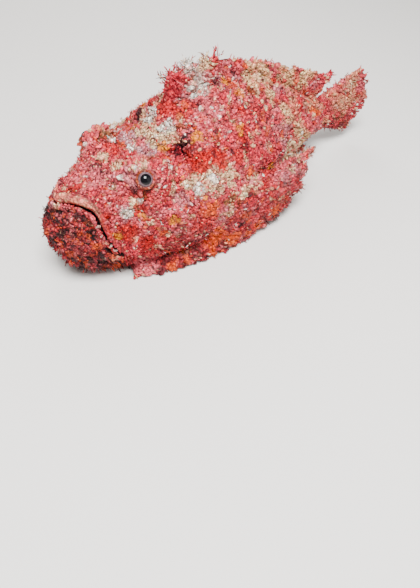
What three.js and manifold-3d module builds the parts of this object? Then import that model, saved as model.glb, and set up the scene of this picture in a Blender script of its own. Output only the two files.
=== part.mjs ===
// Reef stonefish, life size, resting on its belly with the tail swung a little to its left.
// Millimetres. The nose points to -X, the fish's left side to -Y, up is +Z, the floor is Z = 0.
// While the fish is being shaped, s is the distance back from the tip of the lower jaw and the
// body is straight; the last step swings the tail and moves the origin under the middle.

import * as THREE from "three";
import { mergeVertices } from "three/addons/utils/BufferGeometryUtils.js";
import Module from "manifold-3d";

// Overall sizes. The lower lip and the flaps of the chin reach in front of s = 0 by CHIN_REACH.
const FISH_LENGTH = 356;
const CHIN_REACH = 2.25;
const FLESH_LENGTH = 290;
const FACE_DEPTH = 34;
const SEAM = 0.3;
const TAIL_SWING = 20;
const SWING_START = 150;

// Outline of the body: height of the back, height of the belly, half width, the height at which
// the body is widest and how boxy its upper half is, each at a distance s from the lower jaw.
const BACK = [
  [0, 66], [12, 71], [26, 76.5], [48, 82.5], [66, 86], [84, 87], [98, 93], [108, 103], [122, 111],
  [150, 114], [175, 112], [200, 105], [225, 93], [250, 76], [270, 63], [290, 57],
];
const BELLY = [
  [0, 26], [15, 7], [35, 1], [55, -2], [95, -2], [190, -1], [210, 5], [240, 18], [265, 26],
  [290, 29],
];
const HALF_WIDTH = [
  [0, 19], [15, 24], [37, 32.5], [50, 38], [66, 45], [85, 53], [105, 58], [125, 59], [150, 56],
  [180, 48], [210, 38], [240, 27], [265, 17], [290, 10],
];
const WIDEST_HEIGHT = [
  [0, 48], [20, 46], [45, 42], [70, 40], [95, 42], [120, 44], [150, 48], [180, 50], [210, 50],
  [240, 47], [290, 42],
];
const UPPER_BOXY = [[0, 2.0], [40, 2.1], [66, 2.5], [90, 2.1], [112, 1.6], [140, 1.5], [290, 1.9]];
const LOWER_BOXY = 2.6;

// Body mesh
const AROUND = 46;
const FACE_RINGS = 9;
const HEAD_RINGS = 18;
const TRUNK_RINGS = 15;
const TAIL_RINGS = 6;

// Where the body is parted into its nodes
const GILL_S = 114;
const PEDUNCLE_S = 238;
const JAW_HINGE_S = 41;

// Mouth: an upturned U, its top at the middle of the face and its corners low on the cheeks
// and a little higher on the fish's left side. With the lips and the groove, away is the distance
// above the mouth line. Away and radius are given at the middle of the mouth and at its corners.
const MOUTH_TOP_Z = 66.5;
const MOUTH_DROP = 37;
const MOUTH_HALF_WIDTH = 32;
const MOUTH_CURVE = 6.5;
const MOUTH_SKEW = { rise: 0.35, reach: 14 };
const MOUTH_STEPS = 26;
const MOUTH_CROWDING = 1.6;
const MOUTH_GAP = 2.2;
const UPPER_LIP = { away: [5.4, 3.4], radius: [4.3, 2.1], sink: 1.6 };
const LOWER_LIP = { away: [-3.2, -2.8], radius: [2.3, 1.5], sink: 0.8 };
const LIP_GROOVE = { away: [11.5, 3.2], from: 12, to: 29, width: 2.4, rise: -2.6 };

// Lumps and hollows of the head and back, on both sides where y is not 0
const EYE = { s: 65, y: 35.3, z: 83.8 };
const RELIEF = [
  { name: "eye mound", s: 66, y: 31, z: 83, reach: 12, rise: 10 },
  { name: "brow over the eye", s: 72, y: 23, z: 92, reach: 9, rise: 6 },
  { name: "rim over the eye", s: 60, y: 27, z: 88, reach: 6, rise: 5 },
  { name: "hollow between the eyes", s: 60, y: 0, z: 89, reach: 13, rise: -6 },
  { name: "hollow before the eye", s: 50, y: 35, z: 73, reach: 9, rise: -8 },
  { name: "pit behind the eye", s: 100, y: 27, z: 87, reach: 8, rise: -9 },
  { name: "crest over the pit", s: 92, y: 15, z: 98, reach: 9, rise: 3 },
  { name: "ridge under the eye", s: 66, y: 43, z: 66, reach: 9, rise: 1.5 },
  { name: "snout", s: 28, y: 9, z: 80, reach: 9, rise: 1.5 },
  { name: "side of the snout", s: 34, y: 22, z: 76, reach: 9, rise: -4 },
  { name: "end of the upper jaw", s: 47, y: 36, z: 34, reach: 9, rise: 5 },
  { name: "cheek", s: 68, y: 44, z: 50, reach: 14, rise: 3 },
  { name: "gill cover", s: 104, y: 54, z: 62, reach: 13, rise: 5 },
  { name: "shoulder", s: 128, y: 45, z: 72, reach: 18, rise: 2.5 },
  { name: "groove behind the gill cover", s: 117, y: 58, z: 50, reach: 8, rise: -4 },
  { name: "chin", s: 12, y: 12, z: 24, reach: 15, rise: 3 },
];

// Eyes
const EYE_RADIUS = 5.3;
const EYE_SOCKET_DEPTH = 7;
const EYE_BULGE = 2.6;
const EYE_RIM = { away: 1.2, thickness: 1.7 };
const GAZE = { x: -0.35, y: 0.7, z: 0.62 };

// Nostrils
const NOSTRIL = { s: 27, y: 9, z: 81, radius: 2.2, foot: 3.1, hole: 1.2, height: 2.2, sink: 2 };

// Fins. The first three spines of the back stand apart from the others and are the highest:
// [place s, height over the back].
const SPINE_COUNT = 13;
const FRONT_SPINES = 3;
const SPINE_START = 115;
const FRONT_SPINE_STEP = 15;
const SPINE_STEP = 8.1;
const SPINE_HEIGHTS = [[115, 24.5], [130, 23], [145, 18], [153, 15], [170, 11], [202, 9], [226, 9.5]];
const DORSAL_SPLIT = 234;
const DORSAL_END = 274;
const DORSAL_SOFT_RAYS = 6;
const SOFT_HEIGHT = { front: 12, back: 18 };
const DORSAL_LEAN = { front: 0.05, back: 1.6 };
const ANAL_RAYS = 8;
const ANAL_START = 204;
const ANAL_END = 262;
const ANAL_SWEEP = 19;
const CAUDAL_RAYS = 12;
const CAUDAL = { rootTop: 52, rootBottom: 33, marginTop: 76, marginBottom: 12 };
const PECTORAL_RAYS = 17;
const PELVIC_RAYS = 6;
const ROOT_SINK = 4;
const FLOOR_CLEAR = 0.4;

// Swells of the skin, raised in the body's own surface, and warts and flaps set on it. A turn is
// an angle down from the back, in radians.
const SWELLS = { seed: 5, count: 95, from: 24, to: 282, low: 0.25, high: 2.1, reach: 6.5, rise: 2.4 };
const WARTS = [
  { seed: 11, count: 8, from: 44, to: 110, low: 0.35, high: 1.9, least: 3, most: 5 },
  { seed: 12, count: 8, from: 120, to: 230, low: 0.45, high: 1.15, least: 3, most: 5.5 },
  { seed: 13, count: 2, from: 246, to: 276, low: 0.6, high: 1.5, least: 2, most: 3 },
];
const FLAPS = [
  { seed: 21, count: 7, from: 48, to: 108, low: 0.3, high: 1.8, least: 7, most: 10 },
  { seed: 22, count: 6, from: 122, to: 226, low: 0.5, high: 1.15, least: 7, most: 10 },
];
const CHIN_FLAPS = { seed: 23, count: 9, side: 27, high: -9, low: -30, least: 6, most: 9 };
const LIP_FLAPS = { count: 7, side: 24, away: 10.5, length: 7 };
const CHEEK_KNOBS = [{ s: 72, turn: 1.75 }, { s: 82, turn: 1.5 }, { s: 106, turn: 1.0 }];
const KNOB_RADIUS = 5;
// No wart or flap is set round the eyes, near the floor or where the pectoral fin meets the body
const EYE_ROOM = 13;
const FLOOR_ROOM = 14;
const FIN_ROOM = { s: 86, z: 62 };

// Colours of the nodes
const COLOURS = {
  head: "#b4606a",
  lower_jaw: "#7f3340",
  trunk: "#b9616c",
  tail: "#b66a70",
  dorsal: "#d8a79b",
  caudal: "#bf7f7c",
  anal: "#a9575a",
  pectoral: "#b85a48",
  pelvic: "#a04b45",
  eye: "#15151a",
};

const FAR = 500;
const QUARTER = Math.PI / 2;
const SIDEWAYS = new THREE.Vector3(0, 1, 0);
const UPWARD = new THREE.Vector3(0, 0, 1);

// A smooth curve through [place, value] pairs
function smooth(pairs, at) {
  const last = pairs.length - 1;
  const x = Math.min(Math.max(at, pairs[0][0]), pairs[last][0]);
  let i = 0;
  while (i < last - 1 && x > pairs[i + 1][0]) {
    i += 1;
  }
  const slope = (k) => {
    const a = pairs[Math.max(k - 1, 0)];
    const b = pairs[Math.min(k + 1, last)];
    return (b[1] - a[1]) / (b[0] - a[0]);
  };
  const step = pairs[i + 1][0] - pairs[i][0];
  const t = (x - pairs[i][0]) / step;
  const t2 = t * t;
  const t3 = t2 * t;
  return (2 * t3 - 3 * t2 + 1) * pairs[i][1] + (t3 - 2 * t2 + t) * step * slope(i)
    + (3 * t2 - 2 * t3) * pairs[i + 1][1] + (t3 - t2) * step * slope(i + 1);
}

const mix = (a, b, t) => a + (b - a) * t;
const bell = (distance, reach) => Math.exp(-((distance / reach) ** 2));

// A seeded random number maker, so that each build places the same lumps
function seeded(seed) {
  let state = seed;
  return () => {
    state = (state * 1664525 + 1013904223) % 4294967296;
    return state / 4294967296;
  };
}

// The body's cross-section at s: its middle height, half width, reach up and reach down
function section(s) {
  const forward = Math.min(Math.max(s, 0) / FACE_DEPTH, 1);
  const closing = Math.sqrt(1 - (1 - forward) ** 2);
  const middle = smooth(WIDEST_HEIGHT, s);
  return {
    middle,
    half: closing * smooth(HALF_WIDTH, s),
    up: closing * (smooth(BACK, s) - middle),
    down: closing * (middle - smooth(BELLY, s)),
    boxy: smooth(UPPER_BOXY, s),
  };
}

// Plain surface of the body at s and at an angle round it: 0 is the fish's right side, a quarter
// turn is the back, half a turn the left side, three quarters the belly.
function plainPoint(s, angle) {
  const { middle, half, up, down, boxy } = section(s);
  const upper = Math.sin(angle) > 0;
  const power = 2 / (upper ? boxy : LOWER_BOXY);
  const across = Math.sign(Math.cos(angle)) * Math.abs(Math.cos(angle)) ** power;
  const height = Math.sign(Math.sin(angle)) * Math.abs(Math.sin(angle)) ** power;
  return new THREE.Vector3(s, across * half, middle + height * (upper ? up : down));
}

function plainNormal(s, angle) {
  const ds = 0.4;
  const da = 0.02;
  const low = Math.max(s - ds, 0.05);
  const along = plainPoint(s + ds, angle).sub(plainPoint(low, angle));
  const round = plainPoint(s, angle + da).sub(plainPoint(s, angle - da));
  return round.cross(along).normalize();
}

// The angle round the body at which the surface at s lies towards the point y, z
function angleToward(s, y, z) {
  const { middle, half, up, down, boxy } = section(s);
  const upper = z > middle;
  const power = (upper ? boxy : LOWER_BOXY) / 2;
  const across = (Math.abs(y) / half) ** power;
  const height = (Math.abs(z - middle) / (upper ? up : down)) ** power;
  return Math.atan2(upper ? height : -height, y < 0 ? -across : across);
}

// How far back from the jaw the face is met by a line along the fish at y, z
function faceDepth(y, z) {
  let outside = 0;
  let inside = FACE_DEPTH + 20;
  for (let i = 0; i < 30; i += 1) {
    const s = (outside + inside) / 2;
    const { middle, half, up, down, boxy } = section(s);
    const upper = z > middle;
    const power = upper ? boxy : LOWER_BOXY;
    const sum = (Math.abs(y) / half) ** power + (Math.abs(z - middle) / (upper ? up : down)) ** power;
    if (sum < 1) {
      inside = s;
    } else {
      outside = s;
    }
  }
  return inside;
}

function mouthHeight(y) {
  const drop = MOUTH_DROP * (Math.abs(y) / MOUTH_HALF_WIDTH) ** MOUTH_CURVE;
  return MOUTH_TOP_Z - drop - MOUTH_SKEW.rise * y * bell(y, MOUTH_SKEW.reach);
}

// Slope of the mouth line, taken over a millimetre
function mouthSlope(y) {
  return mouthHeight(y + 0.5) - mouthHeight(y - 0.5);
}

// Distance above the mouth line, seen from the front
function aboveMouth(y, z) {
  return (z - mouthHeight(y)) / Math.hypot(1, mouthSlope(y));
}

// Places across the mouth, crowded towards its corners where the mouth line runs steeply down
function acrossMouth(i) {
  const side = 2 * i / MOUTH_STEPS - 1;
  return Math.sign(side) * MOUTH_HALF_WIDTH * (1 - (1 - Math.abs(side)) ** MOUTH_CROWDING);
}

// A point of the face at y on the mouth line, moved away from that line over the face. A
// millimetre seen from the front is longer over the parts of the face that lean back.
function nearMouth(y, away) {
  const slope = mouthSlope(y);
  const long = Math.hypot(1, slope);
  const moved = (offset) => {
    const side = y - (slope / long) * offset;
    const height = mouthHeight(y) + offset / long;
    return new THREE.Vector3(faceDepth(side, height), side, height);
  };
  const overFace = moved(1).distanceTo(moved(-1)) / 2;
  return moved(away / overFace);
}

// Middles of the swells of the skin on both sides, at random places
function swellPlaces() {
  const { seed, count, from, to, low, high } = SWELLS;
  const random = seeded(seed);
  const places = [];
  for (const side of [-1, 1]) {
    for (let i = 0; i < count; i += 1) {
      const s = mix(from, to, (i + random()) / count);
      places.push(plainPoint(s, QUARTER - side * mix(low, high, random())));
    }
  }
  return places;
}

const swells = swellPlaces();

function relief(point) {
  let rise = 0;
  for (const swell of swells) {
    if (Math.abs(swell.x - point.x) < 3 * SWELLS.reach) {
      rise += SWELLS.rise * bell(swell.distanceTo(point), SWELLS.reach);
    }
  }
  const side = Math.abs(point.y);
  for (const lump of RELIEF) {
    const distance = Math.hypot(point.x - lump.s, side - lump.y, point.z - lump.z);
    rise += lump.rise * bell(distance, lump.reach);
  }
  const onFace = THREE.MathUtils.smoothstep(JAW_HINGE_S + 8 - point.x, 0, 14);
  const toCorner = THREE.MathUtils.smoothstep(Math.abs(point.y), LIP_GROOVE.from, LIP_GROOVE.to);
  const away = aboveMouth(point.y, point.z) - mix(...LIP_GROOVE.away, toCorner);
  return rise + onFace * LIP_GROOVE.rise * bell(away, LIP_GROOVE.width);
}

// The finished skin, pushed out by extra
function skinPoint(s, angle, extra = 0) {
  const point = plainPoint(s, angle);
  const normal = plainNormal(s, angle);
  const moved = point.clone().addScaledVector(normal, relief(point) + extra);
  moved.z = Math.max(moved.z, -extra);
  return moved;
}

const wasm = await Module();
wasm.setup();

// A solid from its corner points and triangles, turned the right way out
function solidFrom(points, triangles) {
  const flat = new Float32Array(points.length * 3);
  points.forEach((point, i) => point.toArray(flat, i * 3));
  const make = (faces) => new wasm.Manifold(new wasm.Mesh({
    numProp: 3,
    vertProperties: flat,
    triVerts: new Uint32Array(faces.flat()),
  }));
  const solid = make(triangles);
  return solid.volume() > 0 ? solid : make(triangles.map(([a, b, c]) => [a, c, b]));
}

function solidFromGeometry(geometry, matrix) {
  const bare = new THREE.BufferGeometry();
  bare.setAttribute("position", geometry.getAttribute("position").clone());
  bare.setIndex(geometry.getIndex());
  bare.applyMatrix4(matrix);
  const merged = mergeVertices(bare, 1e-4);
  return new wasm.Manifold(new wasm.Mesh({
    numProp: 3,
    vertProperties: new Float32Array(merged.getAttribute("position").array),
    triVerts: new Uint32Array(merged.getIndex().array),
  }));
}

function block(minimum, maximum) {
  const size = new THREE.Vector3().subVectors(maximum, minimum);
  const middle = new THREE.Vector3().addVectors(minimum, maximum).multiplyScalar(0.5);
  const matrix = new THREE.Matrix4().makeTranslation(middle);
  return solidFromGeometry(new THREE.BoxGeometry(size.x, size.y, size.z), matrix);
}

const slabBetween = (from, to) => block(
  new THREE.Vector3(from, -FAR, -FAR),
  new THREE.Vector3(to, FAR, FAR),
);

function largest(solid) {
  const pieces = solid.decompose();
  return pieces.reduce((best, piece) => (piece.volume() > best.volume() ? piece : best));
}

// A solid rod round a path, with a radius at each of its points
function rodSolid(path, radii, sides) {
  const points = [];
  const triangles = [];
  let across = null;
  path.forEach((centre, i) => {
    const before = path[Math.max(i - 1, 0)];
    const after = path[Math.min(i + 1, path.length - 1)];
    const along = after.clone().sub(before).normalize();
    const start = Math.abs(along.z) < 0.9 ? UPWARD : SIDEWAYS;
    across = (across ?? start).clone().addScaledVector(along, -along.dot(across ?? start));
    across.normalize();
    const other = along.clone().cross(across);
    for (let k = 0; k < sides; k += 1) {
      const angle = (k / sides) * Math.PI * 2;
      points.push(centre.clone()
        .addScaledVector(across, radii[i] * Math.cos(angle))
        .addScaledVector(other, radii[i] * Math.sin(angle)));
    }
  });
  const lastRing = (path.length - 1) * sides;
  const first = points.push(path[0].clone()) - 1;
  const last = points.push(path[path.length - 1].clone()) - 1;
  for (let k = 0; k < sides; k += 1) {
    const next = (k + 1) % sides;
    triangles.push([first, next, k], [last, lastRing + k, lastRing + next]);
    for (let ring = 0; ring < lastRing; ring += sides) {
      triangles.push([ring + k, ring + next, ring + sides + next]);
      triangles.push([ring + k, ring + sides + next, ring + sides + k]);
    }
  }
  return solidFrom(points, triangles);
}

// A low round lump set half into the skin
function wart(point, normal, radius) {
  const turn = new THREE.Quaternion().setFromUnitVectors(UPWARD, normal);
  const size = new THREE.Vector3(radius, radius, radius * 0.8);
  const matrix = new THREE.Matrix4().compose(point, turn, size);
  return solidFromGeometry(new THREE.IcosahedronGeometry(1, 0), matrix);
}

// A tapered flap of skin that leans back and bends at its middle
function flap(point, normal, length, lean) {
  const back = new THREE.Vector3(lean, 0, 0.25);
  const root = point.clone().addScaledVector(normal, -0.3 * length);
  const middle = point.clone().addScaledVector(normal, 0.5 * length);
  const tip = middle.clone().addScaledVector(normal, 0.4 * length).addScaledVector(back, length);
  return rodSolid([root, middle, tip], [0.26 * length, 0.17 * length, 0.05 * length], 4);
}

// Distances s of the rings of the body, close together on the face
function ringPlaces() {
  const places = [];
  for (let i = 1; i <= FACE_RINGS; i += 1) {
    places.push(FACE_DEPTH * (1 - Math.cos(QUARTER * (i / FACE_RINGS))));
  }
  const spans = [[FACE_DEPTH, GILL_S, HEAD_RINGS], [GILL_S, PEDUNCLE_S, TRUNK_RINGS],
    [PEDUNCLE_S, FLESH_LENGTH, TAIL_RINGS]];
  for (const [from, to, count] of spans) {
    for (let i = 1; i <= count; i += 1) {
      places.push(mix(from, to, i / count));
    }
  }
  return places;
}

function bodySolid(extra) {
  const places = ringPlaces();
  const points = [];
  for (const s of places) {
    for (let k = 0; k < AROUND; k += 1) {
      points.push(skinPoint(s, (k / AROUND) * Math.PI * 2, extra));
    }
  }
  const lastRing = (places.length - 1) * AROUND;
  for (let k = 0; k < AROUND; k += 1) {
    points[lastRing + k].x += extra;
  }
  const noseZ = smooth(WIDEST_HEIGHT, 0);
  const endZ = smooth(WIDEST_HEIGHT, FLESH_LENGTH);
  const nose = points.push(new THREE.Vector3(-extra, 0, noseZ)) - 1;
  const end = points.push(new THREE.Vector3(FLESH_LENGTH + extra, 0, endZ)) - 1;
  const triangles = [];
  for (let k = 0; k < AROUND; k += 1) {
    const next = (k + 1) % AROUND;
    triangles.push([nose, next, k], [end, lastRing + k, lastRing + next]);
    for (let ring = 0; ring < lastRing; ring += AROUND) {
      triangles.push([ring + k, ring + next, ring + next + AROUND]);
      triangles.push([ring + k, ring + next + AROUND, ring + k + AROUND]);
    }
  }
  return solidFrom(points, triangles);
}

// Lips: one fold over the mouth line and one under it
function lip({ away, radius, sink }) {
  const path = [];
  const radii = [];
  for (let i = 0; i <= MOUTH_STEPS; i += 1) {
    const y = acrossMouth(i);
    const toCorner = (Math.abs(y) / MOUTH_HALF_WIDTH) ** 2;
    path.push(nearMouth(y, mix(...away, toCorner)).add(new THREE.Vector3(sink, 0, 0)));
    radii.push(mix(...radius, toCorner));
  }
  return rodSolid(path, radii, 6);
}

// Warts and flaps scattered over one side of the body; turn is the angle down from the back
function scatter({ seed, count, from, to, low, high }, place) {
  const random = seeded(seed);
  for (const side of [-1, 1]) {
    for (let i = 0; i < count; i += 1) {
      const s = mix(from, to, (i + random()) / count);
      const angle = QUARTER - side * mix(low, high, random());
      place(skinPoint(s, angle), plainNormal(s, angle), random());
    }
  }
}

function bodyTrimmings() {
  const pieces = [lip(UPPER_LIP), lip(LOWER_LIP)];
  const eyes = [-1, 1].map((side) => new THREE.Vector3(EYE.s, EYE.y * side, EYE.z));
  const clear = (point) => eyes.every((eye) => eye.distanceTo(point) > EYE_ROOM)
    && point.z > FLOOR_ROOM
    && (point.x < FIN_ROOM.s || point.z > FIN_ROOM.z);
  for (const group of WARTS) {
    scatter(group, (point, normal, chance) => {
      if (clear(point)) {
        pieces.push(wart(point, normal, mix(group.least, group.most, chance)));
      }
    });
  }
  for (const group of FLAPS) {
    scatter(group, (point, normal, chance) => {
      if (clear(point)) {
        pieces.push(flap(point, normal, mix(group.least, group.most, chance), 0.4));
      }
    });
  }
  const random = seeded(CHIN_FLAPS.seed);
  for (let i = 0; i < CHIN_FLAPS.count; i += 1) {
    const y = mix(-CHIN_FLAPS.side, CHIN_FLAPS.side, (i + 0.5) / CHIN_FLAPS.count);
    const point = nearMouth(y, mix(CHIN_FLAPS.low, CHIN_FLAPS.high, random()));
    const hanging = new THREE.Vector3(-0.3, 0.03 * point.y, -0.8).normalize();
    pieces.push(flap(point, hanging, mix(CHIN_FLAPS.least, CHIN_FLAPS.most, random()), 0));
  }
  for (let i = 0; i < LIP_FLAPS.count; i += 1) {
    const y = mix(-LIP_FLAPS.side, LIP_FLAPS.side, (i + 0.5) / LIP_FLAPS.count);
    const point = nearMouth(y, LIP_FLAPS.away);
    pieces.push(flap(point, new THREE.Vector3(-0.6, 0, 0.8), LIP_FLAPS.length, 0.2));
  }
  for (const side of [-1, 1]) {
    for (const knob of CHEEK_KNOBS) {
      const angle = QUARTER - side * knob.turn;
      const normal = plainNormal(knob.s, angle);
      pieces.push(wart(skinPoint(knob.s, angle), normal, KNOB_RADIUS));
    }
    const angle = angleToward(NOSTRIL.s, NOSTRIL.y * side, NOSTRIL.z);
    const point = skinPoint(NOSTRIL.s, angle);
    const normal = plainNormal(NOSTRIL.s, angle);
    const rim = point.clone().addScaledVector(normal, NOSTRIL.height);
    const foot = point.addScaledVector(normal, -NOSTRIL.sink);
    pieces.push(rodSolid([foot, rim], [NOSTRIL.foot, NOSTRIL.radius], 8));
  }
  return pieces;
}

function nostrilHole(side) {
  const angle = angleToward(NOSTRIL.s, NOSTRIL.y * side, NOSTRIL.z);
  const point = skinPoint(NOSTRIL.s, angle);
  const normal = plainNormal(NOSTRIL.s, angle);
  const mouth = point.clone().addScaledVector(normal, 2 * NOSTRIL.height);
  return rodSolid([point, mouth], [NOSTRIL.hole, NOSTRIL.hole], 8);
}

// A fin is a sheet of columns (rays and the skin between them) and rows (root to margin).
// place(column, row) gives the middle of the sheet, which way it faces and its half thickness.
function finSolid(columns, rows, place) {
  const points = [];
  for (const side of [1, -1]) {
    for (let i = 0; i <= columns; i += 1) {
      for (let j = 0; j <= rows; j += 1) {
        const { middle, facing, half } = place(i, j / rows);
        points.push(middle.clone().addScaledVector(facing, half * side));
      }
    }
  }
  const perSide = (columns + 1) * (rows + 1);
  const at = (side, i, j) => side * perSide + i * (rows + 1) + j;
  const triangles = [];
  const quad = (a, b, c, d) => triangles.push([a, b, c], [a, c, d]);
  for (let i = 0; i < columns; i += 1) {
    for (let j = 0; j < rows; j += 1) {
      quad(at(0, i, j), at(0, i + 1, j), at(0, i + 1, j + 1), at(0, i, j + 1));
      triangles.push([at(1, i, j), at(1, i + 1, j + 1), at(1, i + 1, j)]);
      triangles.push([at(1, i, j), at(1, i, j + 1), at(1, i + 1, j + 1)]);
    }
    quad(at(0, i, 0), at(1, i, 0), at(1, i + 1, 0), at(0, i + 1, 0));
    quad(at(0, i, rows), at(0, i + 1, rows), at(1, i + 1, rows), at(1, i, rows));
  }
  for (let j = 0; j < rows; j += 1) {
    quad(at(0, 0, j), at(0, 0, j + 1), at(1, 0, j + 1), at(1, 0, j));
    quad(at(0, columns, j), at(1, columns, j), at(1, columns, j + 1), at(0, columns, j + 1));
  }
  return solidFrom(points, triangles);
}

function spinePlace(number) {
  const front = Math.min(number, FRONT_SPINES - 1) * FRONT_SPINE_STEP;
  return SPINE_START + front + Math.max(number - FRONT_SPINES + 1, 0) * SPINE_STEP;
}

// Columns of the spiny part: for each spine its front edge, tip and back edge, and then the
// notch of skin behind it
function spinyColumns() {
  const random = seeded(31);
  const columns = [];
  for (let number = 0; number < SPINE_COUNT; number += 1) {
    const s = spinePlace(number);
    const height = smooth(SPINE_HEIGHTS, s) * mix(0.92, 1.08, random());
    const next = number < SPINE_COUNT - 1 ? spinePlace(number + 1) : 2 * DORSAL_SPLIT - s - SEAM;
    const notch = number < FRONT_SPINES ? 0.38 : 0.66;
    columns.push({ s: s - 2.5, height: height * 0.74, half: 2.2 });
    columns.push({ s, height, half: 3.4 });
    columns.push({ s: s + 2.5, height: height * 0.8, half: 2.2 });
    columns.push({ s: (s + next) / 2, height: height * notch, half: 1.5 });
  }
  return columns;
}

function softColumns(first) {
  const columns = [{ s: DORSAL_SPLIT + SEAM / 2, height: first, half: 1.5 }];
  const count = DORSAL_SOFT_RAYS * 2;
  for (let i = 1; i <= count; i += 1) {
    const onRay = i % 2 === 1;
    const along = i / count;
    columns.push({
      s: mix(DORSAL_SPLIT, DORSAL_END, along),
      height: mix(SOFT_HEIGHT.front, SOFT_HEIGHT.back, along) * (onRay ? 1 : 0.88),
      half: onRay ? 2.3 : 1.4,
    });
  }
  return columns;
}

function dorsalFin(columns) {
  return finSolid(columns.length - 1, 3, (i, v) => {
    const { s, height, half } = columns[i];
    const along = Math.max((s - SPINE_START) / (DORSAL_END - SPINE_START), 0);
    const lean = mix(DORSAL_LEAN.front, DORSAL_LEAN.back, along ** 1.5) * height;
    const root = smooth(BACK, s) - ROOT_SINK;
    const middle = new THREE.Vector3(s + lean * v, 0, root + (height + ROOT_SINK) * v);
    return { middle, facing: SIDEWAYS, half: half * mix(1.3, 0.6, v) };
  });
}

// Columns of a rayed fin stand in turn on a ray and on the skin between two rays
function rayColumn(i) {
  const onRay = i % 2 === 0;
  return { length: onRay ? 1 : 0.91, half: onRay ? 1.8 : 1 };
}

function analFin() {
  const columns = ANAL_RAYS * 2;
  return finSolid(columns, 3, (i, v) => {
    const column = rayColumn(i);
    const along = i / columns;
    const s = mix(ANAL_START, ANAL_END, along);
    const root = Math.max(smooth(BELLY, s), 0) + ROOT_SINK;
    const low = mix(FLOOR_CLEAR, 8, along ** 2) + (1 - column.length) * 14;
    const middle = new THREE.Vector3(s + ANAL_SWEEP * v * column.length, 0, mix(root, low, v));
    return { middle, facing: SIDEWAYS, half: mix(column.half + 0.8, column.half * 0.8, v) };
  });
}

function caudalFin() {
  const columns = CAUDAL_RAYS * 2;
  return finSolid(columns, 4, (i, v) => {
    const column = rayColumn(i);
    const across = i / columns;
    const rounding = mix(0.74, 1, Math.sin(Math.PI * across));
    const longest = FISH_LENGTH - CHIN_REACH - FLESH_LENGTH + ROOT_SINK;
    const length = longest * rounding * column.length;
    const root = mix(CAUDAL.rootBottom, CAUDAL.rootTop, across);
    const margin = mix(CAUDAL.marginBottom, CAUDAL.marginTop, across);
    const middle = new THREE.Vector3(
      FLESH_LENGTH - ROOT_SINK + length * v,
      0,
      mix(root, margin, v ** 0.85),
    );
    return { middle, facing: SIDEWAYS, half: mix(column.half + 1.6, column.half * 0.7, v) };
  });
}

// Root and margin of the pectoral fin, from its lowest ray, under the cheek, to its highest.
// The turn is how far below the side of the body the root lies, in whole turns.
const PECTORAL_ROOT = {
  s: [[0, 54], [0.35, 82], [0.7, 102], [1, 113]],
  turn: [[0, 0.2], [0.35, 0.165], [0.7, 0.09], [1, -0.03]],
};
const PECTORAL_MARGIN = {
  s: [[0, 47], [0.15, 69], [0.35, 100], [0.55, 136], [0.75, 177], [0.9, 214], [1, 227]],
  y: [[0, 38], [0.15, 50], [0.35, 58], [0.55, 62], [0.75, 62], [0.9, 59.5], [1, 52]],
  z: [[0, 1.5], [0.15, 1.5], [0.35, 1.5], [0.55, 2], [0.75, 6], [0.9, 27], [1, 53]],
};
const PECTORAL_FACING = new THREE.Vector3(-0.1, 0.75, 0.65).normalize();
const PECTORAL_BULGE = { low: 12, high: 36 };

function pectoralFin(side) {
  const columns = PECTORAL_RAYS * 2;
  return finSolid(columns, 4, (i, v) => {
    const column = rayColumn(i);
    const across = i / columns;
    const s = smooth(PECTORAL_ROOT.s, across);
    const angle = -smooth(PECTORAL_ROOT.turn, across) * Math.PI * 2;
    const root = plainPoint(s, angle).addScaledVector(plainNormal(s, angle), -ROOT_SINK);
    const margin = new THREE.Vector3(
      smooth(PECTORAL_MARGIN.s, across),
      smooth(PECTORAL_MARGIN.y, across),
      smooth(PECTORAL_MARGIN.z, across),
    );
    const reach = v * column.length;
    const bulge = mix(PECTORAL_BULGE.low, PECTORAL_BULGE.high, across) * reach * (1 - reach);
    const middle = root.lerp(margin, reach).addScaledVector(PECTORAL_FACING, bulge);
    const facing = PECTORAL_FACING.clone();
    middle.y *= side;
    facing.y *= side;
    return { middle, facing, half: mix(column.half + 1.2, column.half * 0.75, v) };
  });
}

const PELVIC_ROOT = { front: new THREE.Vector3(104, 42, 5), back: new THREE.Vector3(120, 31, 3) };
const PELVIC_TIP = { front: new THREE.Vector3(148, 53, 1.4), back: new THREE.Vector3(172, 34, 1.4) };

function pelvicFin(side) {
  const columns = PELVIC_RAYS * 2;
  return finSolid(columns, 3, (i, v) => {
    const column = rayColumn(i);
    const root = PELVIC_ROOT.front.clone().lerp(PELVIC_ROOT.back, i / columns);
    const tip = PELVIC_TIP.front.clone().lerp(PELVIC_TIP.back, i / columns);
    const middle = root.lerp(tip, v * column.length);
    middle.y *= side;
    return { middle, facing: UPWARD, half: mix(2.6, column.half, v) };
  });
}

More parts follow.
